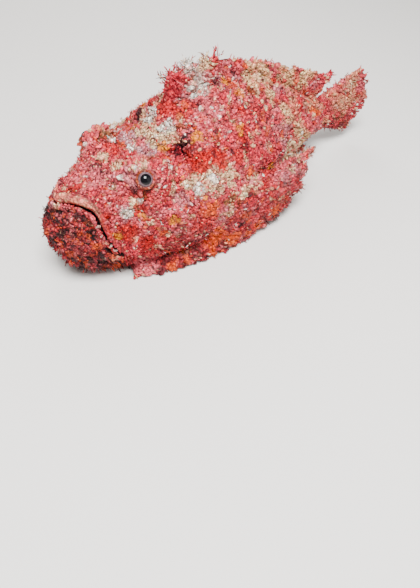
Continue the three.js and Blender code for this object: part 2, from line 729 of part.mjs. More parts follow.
// Eyes: each a short plug with a domed front, in a socket with a raised rim
function eyeParts(side) {
  const gaze = new THREE.Vector3(GAZE.x, GAZE.y * side, GAZE.z).normalize();
  const turn = new THREE.Quaternion().setFromUnitVectors(SIDEWAYS, gaze);
  const surface = skinPoint(EYE.s, angleToward(EYE.s, EYE.y * side, EYE.z));
  const matrix = new THREE.Matrix4().compose(surface, turn, new THREE.Vector3(1, 1, 1));
  const local = (y) => matrix.clone().multiply(new THREE.Matrix4().makeTranslation(0, y, 0));
  const cylinder = (radius, low, high) => solidFromGeometry(
    new THREE.CylinderGeometry(radius, radius, high - low, 16, 1),
    local((low + high) / 2),
  );
  const flatten = new THREE.Matrix4().makeScale(1, EYE_BULGE / EYE_RADIUS, 1);
  const dome = solidFromGeometry(
    new THREE.SphereGeometry(EYE_RADIUS, 16, 8),
    local(0).multiply(flatten),
  );
  const rim = solidFromGeometry(
    new THREE.TorusGeometry(EYE_RADIUS + EYE_RIM.away, EYE_RIM.thickness, 6, 16),
    local(-0.4).multiply(new THREE.Matrix4().makeRotationX(QUARTER)),
  );
  return {
    eye: cylinder(EYE_RADIUS, -EYE_SOCKET_DEPTH, 0).add(dome),
    socket: cylinder(EYE_RADIUS + SEAM, -EYE_SOCKET_DEPTH - SEAM, 12),
    rim,
  };
}

// The room of the lower jaw, under the mouth line and in front of the hinge
function jawPrism(gap, hinge) {
  const outline = new THREE.Shape();
  outline.moveTo(-FAR, -FAR);
  for (let i = 0; i <= MOUTH_STEPS; i += 1) {
    const y = acrossMouth(i);
    const slope = mouthSlope(y);
    const long = Math.hypot(1, slope);
    outline.lineTo(y - (slope / long) * gap, mouthHeight(y) + gap / long);
  }
  outline.lineTo(FAR, -FAR);
  const prism = new THREE.ExtrudeGeometry(outline, { depth: hinge + FAR, bevelEnabled: false });
  const toFish = new THREE.Matrix4().makeBasis(SIDEWAYS, UPWARD, new THREE.Vector3(1, 0, 0));
  toFish.setPosition(-FAR, 0, 0);
  return solidFromGeometry(prism, toFish);
}

// Swings the tail to the fish's left and puts the origin under the middle of the fish
function settle(point) {
  const back = Math.max(point.x - SWING_START, 0) / (FISH_LENGTH - SWING_START);
  point.y -= TAIL_SWING * back * back;
  point.x -= FISH_LENGTH / 2 - CHIN_REACH;
}

function meshFrom(solid, name, colour) {
  const result = solid.getMesh();
  const geometry = new THREE.BufferGeometry();
  const point = new THREE.Vector3();
  const positions = new Float32Array(result.vertProperties.length);
  for (let i = 0; i < positions.length; i += 3) {
    point.fromArray(result.vertProperties, i);
    settle(point);
    point.toArray(positions, i);
  }
  geometry.setAttribute("position", new THREE.BufferAttribute(positions, 3));
  geometry.setIndex(new THREE.BufferAttribute(new Uint32Array(result.triVerts), 1));
  geometry.computeVertexNormals();
  const material = new THREE.MeshStandardMaterial({ color: colour, roughness: 0.7 });
  material.name = `${name}_material`;
  const mesh = new THREE.Mesh(geometry, material);
  mesh.name = name;
  return mesh;
}

function build() {
  const group = new THREE.Group();
  group.name = "stonefish";
  const keep = (solid, name, colour) => group.add(meshFrom(largest(solid), name, colour));
  const floor = block(new THREE.Vector3(-FAR, -FAR, -FAR), new THREE.Vector3(FAR, FAR, 0));
  const grown = bodySolid(SEAM);
  const keepFin = (solid, name, colour) => keep(solid.subtract(grown).subtract(floor), name, colour);

  let body = bodyTrimmings().reduce((sum, piece) => sum.add(piece), bodySolid(0));
  for (const [side, name] of [[-1, "left"], [1, "right"]]) {
    const { eye, socket, rim } = eyeParts(side);
    body = body.add(rim).subtract(socket).subtract(nostrilHole(side));
    keep(eye, `eye_${name}`, COLOURS.eye);
    keepFin(pectoralFin(side), `pectoral_fin_${name}`, COLOURS.pectoral);
    keepFin(pelvicFin(side), `pelvic_fin_${name}`, COLOURS.pelvic);
  }
  const half = SEAM / 2;
  const front = body.intersect(slabBetween(-FAR, GILL_S - half));
  const jawRoom = jawPrism(MOUTH_GAP / 2, JAW_HINGE_S + half);
  const jaw = jawPrism(-MOUTH_GAP / 2, JAW_HINGE_S - half);
  keep(front.subtract(jawRoom), "head", COLOURS.head);
  keep(front.intersect(jaw), "lower_jaw", COLOURS.lower_jaw);
  keep(body.intersect(slabBetween(GILL_S + half, PEDUNCLE_S - half)), "trunk", COLOURS.trunk);
  keep(body.intersect(slabBetween(PEDUNCLE_S + half, FAR)), "tail", COLOURS.tail);

  const spiny = spinyColumns();
  keepFin(dorsalFin(spiny), "dorsal_fin_spiny", COLOURS.dorsal);
  keepFin(dorsalFin(softColumns(spiny.at(-1).height)), "dorsal_fin_soft", COLOURS.dorsal);
  keepFin(analFin(), "anal_fin", COLOURS.anal);
  keepFin(caudalFin(), "caudal_fin", COLOURS.caudal);
  return group;
}

export default build();
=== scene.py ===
import math

import bpy
import numpy as np
from mathutils import Matrix, Vector


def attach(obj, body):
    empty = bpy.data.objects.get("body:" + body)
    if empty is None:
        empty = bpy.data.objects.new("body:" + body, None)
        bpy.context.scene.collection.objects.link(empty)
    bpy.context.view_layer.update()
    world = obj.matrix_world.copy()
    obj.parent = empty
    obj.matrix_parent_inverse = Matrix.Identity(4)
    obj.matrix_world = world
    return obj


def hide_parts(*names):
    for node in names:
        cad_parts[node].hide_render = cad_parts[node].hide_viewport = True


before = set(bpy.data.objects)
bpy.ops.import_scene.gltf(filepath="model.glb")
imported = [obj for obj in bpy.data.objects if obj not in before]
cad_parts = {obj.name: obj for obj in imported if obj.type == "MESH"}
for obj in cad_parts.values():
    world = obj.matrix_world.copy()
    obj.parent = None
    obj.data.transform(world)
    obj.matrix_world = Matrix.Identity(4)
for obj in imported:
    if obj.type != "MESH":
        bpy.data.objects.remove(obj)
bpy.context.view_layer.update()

bl_info = {
    "name": "Reef stonefish",
    "version": (1, 0, 0),
    "blender": (4, 5, 0),
    "location": "3D View > Sidebar > Stonefish",
    "description": "Builds the skin, fins, eyes and crusty coat of a life-size reef stonefish",
    "category": "Object",
}

# Sizes are in millimetres until a mesh is written. s is the distance back from the lower jaw of
# a fish that lies straight; settle() swings its tail and moves it to the model's own place.
MM = 0.001
TURN = 2 * math.pi
QUARTER = math.pi / 2

FISH_LENGTH = 356
FLESH_LENGTH = 290
CHIN_REACH = 2.25
FACE_DEPTH = 34
TAIL_SWING = 20
SWING_START = 150
JAW_HINGE_S = 41

BACK = [
    (0, 66), (12, 71), (26, 76.5), (48, 82.5), (66, 86), (84, 87), (98, 93), (108, 103),
    (122, 111), (150, 114), (175, 112), (200, 105), (225, 93), (250, 76), (270, 63), (290, 57),
]
BELLY = [
    (0, 26), (15, 7), (35, 1), (55, -2), (95, -2), (190, -1), (210, 5), (240, 18), (265, 26),
    (290, 29),
]
HALF_WIDTH = [
    (0, 19), (15, 24), (37, 32.5), (50, 38), (66, 45), (85, 53), (105, 58), (125, 59), (150, 56),
    (180, 48), (210, 38), (240, 27), (265, 17), (290, 10),
]
WIDEST_HEIGHT = [
    (0, 48), (20, 46), (45, 42), (70, 40), (95, 42), (120, 44), (150, 48), (180, 50), (210, 50),
    (240, 47), (290, 42),
]
UPPER_BOXY = [(0, 2.0), (40, 2.1), (66, 2.5), (90, 2.1), (112, 1.6), (140, 1.5), (290, 1.9)]
LOWER_BOXY = 2.6

MOUTH_TOP_Z = 66.5
MOUTH_DROP = 37
MOUTH_HALF_WIDTH = 32
MOUTH_CURVE = 6.5
MOUTH_SKEW = {"rise": 0.35, "reach": 14}
MOUTH_CROWDING = 1.6
LIP_GROOVE = {"away": (11.5, 3.2), "from": 12, "to": 29, "width": 2.4, "rise": -2.6}
# Fold that carries on from the corner of the mouth, sunk and painted with shadow, at s, distance
# to either side, height
MOUTH_FOLD = [(31, 31.5, 36), (33, 32.5, 31), (37, 35.5, 26.5), (42, 38, 23), (48, 40, 20)]

# Lumps and hollows: s, height from the middle of the fish, height, reach and rise, on both sides
RELIEF = {
    "eye mound": (66, 31, 83, 12, 10),
    "brow over the eye": (72, 23, 92, 9, 6),
    "hollow between the eyes": (60, 0, 89, 13, -6),
    "hollow before the eye": (50, 35, 73, 9, -8),
    "rim over the eye": (60, 27, 88, 6, 5),
    "pit behind the eye": (100, 27, 87, 8, -9),
    "crest over the pit": (92, 15, 98, 9, 3),
    "ridge under the eye": (66, 43, 66, 9, 1.5),
    "snout": (28, 9, 80, 9, 1.5),
    "side of the snout": (34, 22, 76, 9, -4),
    "end of the upper jaw": (47, 36, 34, 9, 5),
    "cheek": (68, 44, 50, 14, 3),
    "gill cover": (104, 54, 62, 13, 5),
    "shoulder": (128, 45, 72, 18, 2.5),
    "groove behind the gill cover": (117, 58, 50, 8, -4),
    "chin": (12, 12, 24, 15, 3),
}
SWELLS = {"seed": 5, "count": 95, "from": 24, "to": 282, "low": 0.25, "high": 2.1}
SWELL_REACH = 6.5
SWELL_RISE = 2.4

EYE = (65, 35.3, 83.8)
GAZE = (-0.35, 0.7, 0.62)

SPINE_COUNT = 13
FRONT_SPINES = 3
SPINE_START = 115
FRONT_SPINE_STEP = 15
SPINE_STEP = 8.1
SPINE_HEIGHTS = [
    (115, 24.5), (130, 23), (145, 18), (153, 15), (170, 11), (202, 9), (226, 9.5),
]
SOFT_HEIGHT = (12, 18)
DORSAL_SPLIT = 234
DORSAL_END = 274
SOFT_RAYS = 6
ROOT_SINK = 6


def tone(code):
    """The linear colour of a six-figure screen colour"""
    levels = np.array([int(code[i:i + 2], 16) / 255 for i in (1, 3, 5)])
    return np.where(levels <= 0.04045, levels / 12.92, ((levels + 0.055) / 1.055) ** 2.4)


ROSE = tone("#E03042")
BLUSH = tone("#F0646C")
RED = tone("#CC2024")
SCARLET = tone("#C20602")
ORANGE = tone("#E84C02")
AMBER = tone("#F08200")
RUST = tone("#86300C")
CREAM = tone("#FFC294")
WHITE = tone("#FFE6D4")
TAN = tone("#F6B480")
MAROON = tone("#4A0C16")
SHADOW = tone("#160508")
LILAC = tone("#C48A90")
OLIVE = tone("#8E5630")
LIP = tone("#EE8068")

# Markings of the hide that stay in place, and painted shade in its hollows, folds and pits: s,
# distance to either side, height, reach and colour
PATCHES = {
    "grey-pink crown": (84, 12, 88, 8, LILAC),
    "cream nape": (97, 5, 93, 9.5, CREAM),
    "cream nape, front": (92, 8, 90, 4.5, CREAM),
    "cream nape, rear": (104, 10, 97, 6, WHITE),
    "olive brow": (73, 21, 89, 7, OLIVE),
    "pale snout": (42, 5, 79, 11, BLUSH),
    # painted shade: maroon in the hollow of the snout
    "shade in the hollow of the snout": (50, 4, 81, 5, MAROON),
    "cream spot of the snout": (58, 9, 82, 4.5, CREAM),
    "white spot of the crown": (71, 15, 87, 3.5, WHITE),
    "white spot of the crown, rear": (78, 1, 86, 3, WHITE),
    "rose brow": (67, 12, 85, 6, RED),
    "rust ring of the eye": (65, 36, 82, 7.5, RUST),
    # painted shade: maroon in the fold under the eye; the rust beside it is partly the hide's own
    # colour and partly painted shade
    "shade in the fold under the eye": (57, 33, 77, 3.5, MAROON),
    "rust and shade under the eye": (61, 39, 77, 4.5, RUST),
    "cream spots under the eye": (54, 33, 68, 3.5, CREAM),
    "cream spots under the eye, rear": (59, 38, 72, 3, WHITE),
    "amber cheek spot": (56, 42, 63, 4, AMBER),
    "red cheek spot": (53, 38, 62, 3, SCARLET),
    "white cheek": (47, 33, 62, 5, WHITE),
    "scarlet cheek": (45, 38, 49, 9, SCARLET),
    "scarlet cheek, rear": (56, 43, 37, 8, SCARLET),
    "rose end of the jaw": (42, 39, 33, 8, ROSE),
    "orange jaw hinge": (34, 26, 14, 7, ORANGE),
    "orange mouth corner": (23, 27, 40, 4, ORANGE),
    "amber mouth corner": (38, 33, 46, 3.5, AMBER),
    "scarlet end of the lip": (34, 28, 62, 4, SCARLET),
    "rose throat": (61, 38, 6, 12, BLUSH),
    # painted shadow: near-black and maroon in the pit behind the eye
    "shade in the pit": (106, 25, 86, 7, SHADOW),
    "shade in the pit, front": (99, 21, 83, 4, MAROON),
    "amber frill": (94, 17, 88, 4, AMBER),
    "cream frill": (102, 17, 93, 5, CREAM),
    "orange frill": (92, 23, 84, 3, ORANGE),
    "white line behind the eye": (86, 31, 84, 4.5, WHITE),
    "cream gill cover": (108, 54, 73, 12.5, CREAM),
    "cream gill cover, rear": (125, 53, 72, 10, CREAM),
    "cream gill cover, front": (95, 48, 74, 6.5, CREAM),
    "white gill spot": (98, 52, 70, 5, WHITE),
    "white gill spot, rear": (112, 54, 73, 5, WHITE),
    "amber gill spot": (92, 44, 76, 3.6, AMBER),
    "amber spot of the shoulder": (115, 29, 94, 4.8, AMBER),
    "amber spot of the back": (151, 37, 90, 4.6, AMBER),
    "amber spot of the gill": (101, 57, 63, 4.6, AMBER),
    "amber spot of the crest": (163, 7, 112, 3.5, AMBER),
    "amber bar of the back": (169, 17, 105, 4.4, AMBER),
    "rust bar of the back": (182, 17, 103, 4.4, RUST),
    "orange nape spot": (121, 9, 108, 3.4, ORANGE),
    "amber flank streak": (181, 48, 49, 5, AMBER),
    "orange flank spot": (183, 44, 65, 3.5, ORANGE),
    "orange side spot": (150, 54, 62, 4.2, ORANGE),
    "amber cheek, rear": (77, 53, 53, 4.6, AMBER),
    "amber tail spot": (266, 15, 58, 5, ORANGE),
    "orange back spot": (180, 35, 86, 3.5, ORANGE),
    "cream flank streak": (151, 61, 52, 7, CREAM),
    "cream flank streak, front": (137, 61, 49, 4.5, CREAM),
    "cream crest": (139, 1, 119, 11, WHITE),
    "cream crest, tip": (131, 0, 131, 6, WHITE),
    "cream crest, rear tip": (148, 0, 129, 5, CREAM),
    "red front of the crest": (116, 2, 122, 9, ROSE),
    "rose crest": (166, 2, 122, 7, BLUSH),
    "tan crest": (204, 2, 108, 13, TAN),
    "tan top of the rear": (190, 8, 112, 9, TAN),
    "cream top of the rear": (200, 9, 106, 7, CREAM),
    "tan crest, rear": (240, 2, 94, 12, TAN),
    "tan rear arm": (262, 1, 84, 10, TAN),
    "tan band, top": (199, 21, 98, 8, TAN),
    "tan band, upper": (213, 30, 81, 9, TAN),
    "tan band, middle": (232, 30, 60, 9, TAN),
    "tan band, lower": (243, 27, 42, 9, TAN),
    "cream band": (219, 36, 47, 9, CREAM),
    "cream band, front": (207, 39, 42, 7.5, CREAM),
    "rose rear fin": (291, 1, 83, 12, ROSE),
    "rose tail": (288, 7, 55, 11, ROSE),
    "tan specks": (124, 59, 51, 5, OLIVE),
    "cream fin root": (123, 60, 39, 4, CREAM),
    "orange fin root": (104, 62, 52, 8, ORANGE),
    "red gill edge": (99, 59, 39, 9, RED),
    "orange fin": (114, 55, 17, 10, ORANGE),
    "orange fin, middle": (129, 60, 10, 8, ORANGE),
    "orange fin, rear": (157, 62, 12, 6.5, ORANGE),
    "orange fin, end": (174, 63, 20, 6.5, ORANGE),
    # painted shadow: maroon in the crease above the pectoral fin
    "shade over the fin": (138, 61, 23, 6.5, MAROON),
    "shade over the fin, upper": (145, 63, 39, 4, MAROON),
    "rust throat": (89, 50, 7, 7, RUST),
    "orange throat": (73, 51, 4, 5, ORANGE),
    "rose flank": (162, 47, 74, 12, ROSE),
    "blush shoulder": (137, 21, 104, 10, BLUSH),
    "red nape": (112, 3, 105, 6, RED),
    "scarlet streak": (109, 41, 83, 8.5, SCARLET),
    "scarlet streak, middle": (124, 44, 81, 8, SCARLET),
    "scarlet streak, rear": (140, 48, 77, 6.5, RED),
    "round red spot": (92, 38, 80, 4.5, RED),
}


def mix(a, b, t):
    """From a to b for t from 0 to 1"""
    return a + (b - a) * t


def step_between(low, high, x):
    """A smooth step from 0 at low to 1 at high"""
    t = np.clip((x - low) / (high - low), 0, 1)
    return t * t * (3 - 2 * t)


def bell(distance, reach):
    """1 at no distance, falling away over the reach"""
    return np.exp(-((distance / reach) ** 2))


def curve(pairs, at):
    """A smooth curve through [place, value] pairs"""
    x, value = np.array(pairs, float).T
    last = len(x) - 1
    at = np.clip(at, x[0], x[-1])
    i = np.clip(np.searchsorted(x, at, side="left") - 1, 0, last - 1)
    before = np.maximum(np.arange(last + 1) - 1, 0)
    after = np.minimum(np.arange(last + 1) + 1, last)
    slope = (value[after] - value[before]) / (x[after] - x[before])
    step = x[i + 1] - x[i]
    t = (at - x[i]) / step
    return ((2 * t ** 3 - 3 * t ** 2 + 1) * value[i] + (t ** 3 - 2 * t ** 2 + t) * step * slope[i]
            + (3 * t ** 2 - 2 * t ** 3) * value[i + 1] + (t ** 3 - t ** 2) * step * slope[i + 1])


def lattice(cell, seed):
    """Random numbers from 0 to 1, one for each whole-number place"""
    mask = 0xFFFFFFFF
    code = (cell[..., 0] * 374761393 + cell[..., 1] * 668265263 + cell[..., 2] * 1442695041
            + seed * 974634777) & mask
    code = ((code ^ (code >> 13)) * 1274126177) & mask
    return ((code ^ (code >> 16)) & 0xFFFFFF) / 0xFFFFFF


def noise(points, size, seed):
    """Smooth noise from -1 to 1 whose waves are about size long"""
    scaled = points / size + 31.7 * seed
    cell = np.floor(scaled).astype(np.int64)
    t = scaled - cell
    t = t * t * (3 - 2 * t)
    total = 0
    for corner in np.ndindex(2, 2, 2):
        weight = np.prod(np.where(corner, t, 1 - t), axis=-1)
        total = total + weight * lattice(cell + np.array(corner), seed)
    return 2 * total - 1


def pebbles(points, size, seed):
    """Rounded cells about size across, 1 at their middles and 0 in the creases between them"""
    scaled = points / size
    cell = np.floor(scaled).astype(np.int64)
    nearest = np.full(len(points), 9.0)
    second = np.full(len(points), 9.0)
    for corner in np.ndindex(3, 3, 3):
        near = cell + np.array(corner) - 1
        place = near + np.stack([lattice(near, seed + k) for k in range(3)], axis=-1)
        distance = np.linalg.norm(scaled - place, axis=-1)
        second = np.minimum(second, np.maximum(distance, nearest))
        nearest = np.minimum(nearest, distance)
    return step_between(0, 0.42, second - nearest)


def draws(seed):
    """The same chain of random numbers as the solids take for their swells"""
    state = seed
    while True:
        state = (state * 1664525 + 1013904223) % 4294967296
        yield state / 4294967296


def section(s):
    """Height of the widest place, half width, rises to back and belly, and boxiness at s"""
    closing = np.sqrt(1 - (1 - np.clip(s / FACE_DEPTH, 0, 1)) ** 2)
    closing = closing * np.sqrt(1 - np.clip((s - FLESH_LENGTH + 8) / 10, 0, 1) ** 2)
    middle = curve(WIDEST_HEIGHT, s)
    up = closing * (curve(BACK, s) - middle)
    down = closing * (middle - curve(BELLY, s))
    return middle, closing * curve(HALF_WIDTH, s), up, down, curve(UPPER_BOXY, s)


def plain_point(s, angle):
    """The plain body at s and at an angle round it: right side, back, left side, belly"""
    middle, half, up, down, boxy = section(s)
    upper = np.sin(angle) > 0
    power = 2 / np.where(upper, boxy, LOWER_BOXY)
    across = np.sign(np.cos(angle)) * np.abs(np.cos(angle)) ** power
    height = np.sign(np.sin(angle)) * np.abs(np.sin(angle)) ** power
    return np.stack([s, across * half, middle + height * np.where(upper, up, down)], axis=-1)


def angle_toward(s, y, z):
    """The angle round the plain body that points to y, z"""
    middle, half, up, down, boxy = section(s)
    upper = z > middle
    power = np.where(upper, boxy, LOWER_BOXY) / 2
    height = (np.abs(z - middle) / np.where(upper, up, down)) ** power
    return np.arctan2(np.where(upper, height, -height), np.sign(y) * (np.abs(y) / half) ** power)


def unit(vectors):
    """The vectors made 1 long"""
    return vectors / np.maximum(np.linalg.norm(vectors, axis=-1, keepdims=True), 1e-9)


def plain_normal(s, angle):
    """The way the plain body faces at s and angle"""
    along = plain_point(s + 0.4, angle) - plain_point(np.maximum(s - 0.4, 0.05), angle)
    around = plain_point(s, angle + 0.02) - plain_point(s, angle - 0.02)
    return unit(np.cross(around, along))


def mouth_height(y):
    """Height of the mouth line, which drops towards its corners and is a little askew"""
    drop = MOUTH_DROP * (np.abs(y) / MOUTH_HALF_WIDTH) ** MOUTH_CURVE
    return MOUTH_TOP_Z - drop - MOUTH_SKEW["rise"] * y * bell(y, MOUTH_SKEW["reach"])


def mouth_slope(y):
    """Rise of the mouth line for each millimetre across"""
    return mouth_height(y + 0.5) - mouth_height(y - 0.5)


def above_mouth(y, z):
    """Distance above the mouth line, seen from the front"""
    return (z - mouth_height(y)) / np.hypot(1, mouth_slope(y))


def face_depth(y, z):
    """How far back from the jaw a line along the fish at y, z meets the face"""
    outside = np.zeros_like(y)
    inside = np.full_like(y, FACE_DEPTH + 20.0)
    for _ in range(30):
        s = (outside + inside) / 2
        middle, half, up, down, boxy = section(s)
        upper = z > middle
        power = np.where(upper, boxy, LOWER_BOXY)
        reach = np.where(upper, up, down)
        within = (np.abs(y) / half) ** power + (np.abs(z - middle) / reach) ** power < 1
        inside = np.where(within, s, inside)
        outside = np.where(within, outside, s)
    return inside


def across_mouth(share):
    """Places across the mouth for shares from 0 to 1, crowded towards its corners"""
    side = 2 * share - 1
    return np.sign(side) * MOUTH_HALF_WIDTH * (1 - (1 - np.abs(side)) ** MOUTH_CROWDING)


def near_mouth(y, away):
    """A point of the face at y on the mouth line, moved away from that line over the face"""
    slope = mouth_slope(y)
    long = np.hypot(1, slope)

    def moved(offset):
        side = y - (slope / long) * offset
        height = mouth_height(y) + offset / long
        return np.stack([face_depth(side, height), side, height], axis=-1)

    over_face = np.linalg.norm(moved(1) - moved(-1), axis=-1) / 2
    return moved(away / over_face)


def from_mouth(points):
    """Distance from the mouth line, less than 0 under it"""
    near = points[:, 0] < JAW_HINGE_S + 14
    nearest = np.full(len(points), 99.0)
    for place in near_mouth(across_mouth(np.linspace(0, 1, 150)), 0.0):
        distance = np.linalg.norm(points[near] - place, axis=-1)
        nearest[near] = np.minimum(nearest[near], distance)
    return nearest * np.sign(above_mouth(points[:, 1], points[:, 2]))


def swell_places():
    """Places of the low swells on both sides, the same as in the solids"""
    chain = draws(SWELLS["seed"])
    places = []
    for side in (-1, 1):
        for i in range(SWELLS["count"]):
            s = mix(SWELLS["from"], SWELLS["to"], (i + next(chain)) / SWELLS["count"])
            turn = mix(SWELLS["low"], SWELLS["high"], next(chain))
            places.append(plain_point(np.array(float(s)), np.array(QUARTER - side * turn)))
    return np.array(places)


SWELL_PLACES = swell_places()


def groove_away(y):
    """How far over the mouth line the groove above the lip runs"""
    return mix(*LIP_GROOVE["away"], step_between(LIP_GROOVE["from"], LIP_GROOVE["to"], np.abs(y)))


def relief(points):
    """How far the skin rises over the plain body"""
    rise = np.zeros(len(points))
    for place in SWELL_PLACES:
        near = np.abs(points[:, 0] - place[0]) < 3 * SWELL_REACH
        distance = np.linalg.norm(points[near] - place, axis=-1)
        rise[near] += SWELL_RISE * bell(distance, SWELL_REACH)
    for s, y, z, reach, lump in RELIEF.values():
        rise += lump * bell(np.linalg.norm(folded(points) - (s, y, z), axis=-1), reach)
    on_face = step_between(0, 14, JAW_HINGE_S + 8 - points[:, 0])
    away = above_mouth(points[:, 1], points[:, 2]) - groove_away(points[:, 1])
    return rise + on_face * LIP_GROOVE["rise"] * bell(away, LIP_GROOVE["width"])


def skin_point(s, angle, extra=0.0):
    """A point of the finished skin, or one extra outside it"""
    plain = plain_point(s, angle)
    return plain + plain_normal(s, angle) * (relief(plain) + extra)[:, None]


def swing(s):
    """How far the tail is swung to the fish's left at s"""
    return TAIL_SWING * (np.maximum(s - SWING_START, 0) / (FISH_LENGTH - SWING_START)) ** 2


def settle(points):
    """From the straight fish to the model's own place"""
    s, y, z = np.moveaxis(points, -1, 0)
    return np.stack([s - FISH_LENGTH / 2 + CHIN_REACH, y - swing(s), z], axis=-1)


def straighten(points):
    """From the model's own place to the straight fish"""
    x, y, z = np.moveaxis(points, -1, 0)
    s = x + FISH_LENGTH / 2 - CHIN_REACH
    return np.stack([s, y + swing(s), z], axis=-1)


def folded(points):
    """Points of the fish's left side laid over those of its right"""
    return np.abs(points) * (0, 1, 0) + points * (1, 0, 1)


def blend(colours, other, amount):
    """Colours moved towards another by an amount for each"""
    return colours + (np.asarray(other) - colours) * np.asarray(amount)[..., None]


def on_jaw(points):
    """1 on the lower jaw, under the mouth line and before its hinge"""
    under = step_between(0, 3, -above_mouth(points[:, 1], points[:, 2]))
    return under * step_between(JAW_HINGE_S + 6, JAW_HINGE_S - 6, points[:, 0])


# Blotches of the hide and of the jaw: colour, strength, size, seed, the levels of the noise
# between which they come in, and how much their edges are stirred
BLOTCHES = [
    (BLUSH, 0.8, 24, 1, -0.5, 0.3, 0.5),
    (RED, 0.5, 6, 2, 0.1, 0.4, 0.4),
    (BLUSH, 0.7, 5, 17, 0.1, 0.4, 0.4),
    (RED, 0.7, 17, 4, 0.2, 0.6, 0.4),
    (LILAC, 0.5, 9, 8, 0.35, 0.6, 0.3),
    (SCARLET, 0.8, 9, 5, 0.5, 0.66, 0.3),
    (CREAM, 0.8, 6, 6, 0.52, 0.66, 0.35),
    (ORANGE, 0.8, 6, 7, 0.6, 0.7, 0.2),
    # painted shade: dark maroon blotches spread by noise, put in as the shade of crevices
    (MAROON, 0.7, 5, 9, 0.5, 0.7, 0.4),
]
JAW_BLOTCHES = [
    (RED, 0.4, 6, 12, 0.0, 0.6, 0.5),
    (ROSE, 0.5, 5, 16, 0.3, 0.6, 0.5),
    (ORANGE, 0.8, 4, 13, 0.35, 0.5, 0.3),
    (BLUSH, 0.7, 3.5, 14, 0.45, 0.6, 0.3),
]


def patch_places():
    """The places of the markings, drawn onto the skin where they lie near it"""
    places = np.array([patch[:3] for patch in PATCHES.values()], float)
    s, y, z = places.T
    on_skin = skin_point(s, angle_toward(s, y, z))
    near = np.linalg.norm(on_skin - places, axis=-1) < 7
    return np.where(near[:, None], on_skin, places)


PATCH_PLACES = patch_places()


def hide_colours(points):
    """Colours of the hide at points of the straight fish, with painted shade on the lower side, on
    the jaw and in hollows and folds
    """
    ripple = noise(points, 5, 3)
    colours = np.tile(ROSE, (len(points), 1))
    for colour, amount, size, seed, low, high, stir in BLOTCHES:
        level = noise(points, size, seed) + stir * ripple
        colours = blend(colours, colour, amount * step_between(low, high, level))
    # Towards the belly redder, with orange and dark maroon blotches; the maroon is partly the
    # hide's own colour and partly painted shade of the underside
    low = step_between(46, 12, points[:, 2])
    colours = blend(colours, RED, 0.6 * low)
    colours = blend(colours, MAROON, 0.85 * low * step_between(-0.45, 0.15, noise(points, 8, 10)))
    colours = blend(colours, ORANGE, 0.8 * low * step_between(0.3, 0.5, noise(points, 7, 18)))
    rear = step_between(200, 250, points[:, 0])
    colours = blend(colours, TAN, 0.6 * rear * step_between(-0.1, 0.4, noise(points, 14, 11)))

    # The jaw's maroon: partly its own colour and partly painted shade
    dark = np.tile(MAROON, (len(points), 1))
    for colour, amount, size, seed, low, high, stir in JAW_BLOTCHES:
        level = noise(points, size, seed) + stir * ripple
        dark = blend(dark, colour, amount * step_between(low, high, level))
    # painted shadow under the mouth line, where the upper lip shades the jaw
    under = -above_mouth(points[:, 1], points[:, 2])
    dark = blend(dark, SHADOW, 0.75 * step_between(9, 3, under))
    # the jaw, dimmed to 0.72 as painted shade, laid over the hide
    colours = blend(colours, 0.72 * dark, on_jaw(points))

    both = folded(points)
    for place, (*_, reach, colour) in zip(PATCH_PLACES, PATCHES.values()):
        distance = np.linalg.norm(both - place, axis=-1) / reach
        near = distance < 1.7
        ragged = distance[near] + 0.34 * noise(points[near], 0.5 * reach, 15) + 0.3 * ripple[near]
        amount = np.zeros(len(points))
        amount[near] = 0.96 * step_between(1.15, 0.8, ragged)
        colours = blend(colours, colour, amount)
    return colours


def crustiness(colours):
    """1 where the markings are pale and the crust is coarse, 0 where they are pink or red"""
    return step_between(0.25, 0.5, colours[:, 1] / colours[:, 0])


def read(items, name, width, kind=float):
    """One property of all items of a mesh, as rows of an array"""
    values = np.empty(len(items) * width, kind)
    items.foreach_get(name, values)
    return values.reshape(-1, width)


def vertex_normals(mesh):
    """The way each corner of a mesh faces"""
    return read(mesh.vertex_normals, "vector", 3)


def write_places(mesh, points):
    """Moves a mesh's corners to points in millimetres"""
    mesh.vertices.foreach_set("co", (points * MM).ravel())
    mesh.update()


def paint(mesh, colours, height):
    """Gives each corner of a piece its marking and how high it stands in its crust, 0 to 1, from
    which the material paints shade on the low places
    """
    marking = mesh.attributes.new("marking", "FLOAT_COLOR", "POINT")
    with_alpha = np.concatenate([colours, np.ones((len(colours), 1))], axis=1)
    marking.data.foreach_set("color", with_alpha.ravel())
    standing = mesh.attributes.new("standing", "FLOAT", "POINT")
    standing.data.foreach_set("value", np.asarray(height, float))


def put_in_order(mesh):
    """Gives the faces of a new sphere a fixed order, because they come in another one each time"""
    starts = read(mesh.polygons, "loop_start", 1, int)
    sides = read(mesh.polygons, "loop_total", 1, int)[:, 0]
    vertex = read(mesh.loops, "vertex_index", 1, int)[:, 0]
    unwrap = read(mesh.uv_layers[0].data, "uv", 2)
    order, sizes = [], []
    for number in (3, 4):
        loops = starts[sides == number] + np.arange(number)
        first = np.argmin(vertex[loops], axis=1)[:, None]
        loops = np.take_along_axis(loops, (first + np.arange(number)) % number, axis=1)
        loops = loops[np.lexsort(vertex[loops].T[::-1])]
        order.append(loops.ravel())
        sizes.append(np.full(len(loops), number))
    order, sizes = np.concatenate(order), np.concatenate(sizes)
    mesh.loops.foreach_set("vertex_index", vertex[order].astype(np.int32))
    mesh.polygons.foreach_set("loop_start", (np.cumsum(sizes) - sizes).astype(np.int32))
    mesh.uv_layers[0].data.foreach_set("uv", unwrap[order].ravel())
    mesh.update(calc_edges=True)


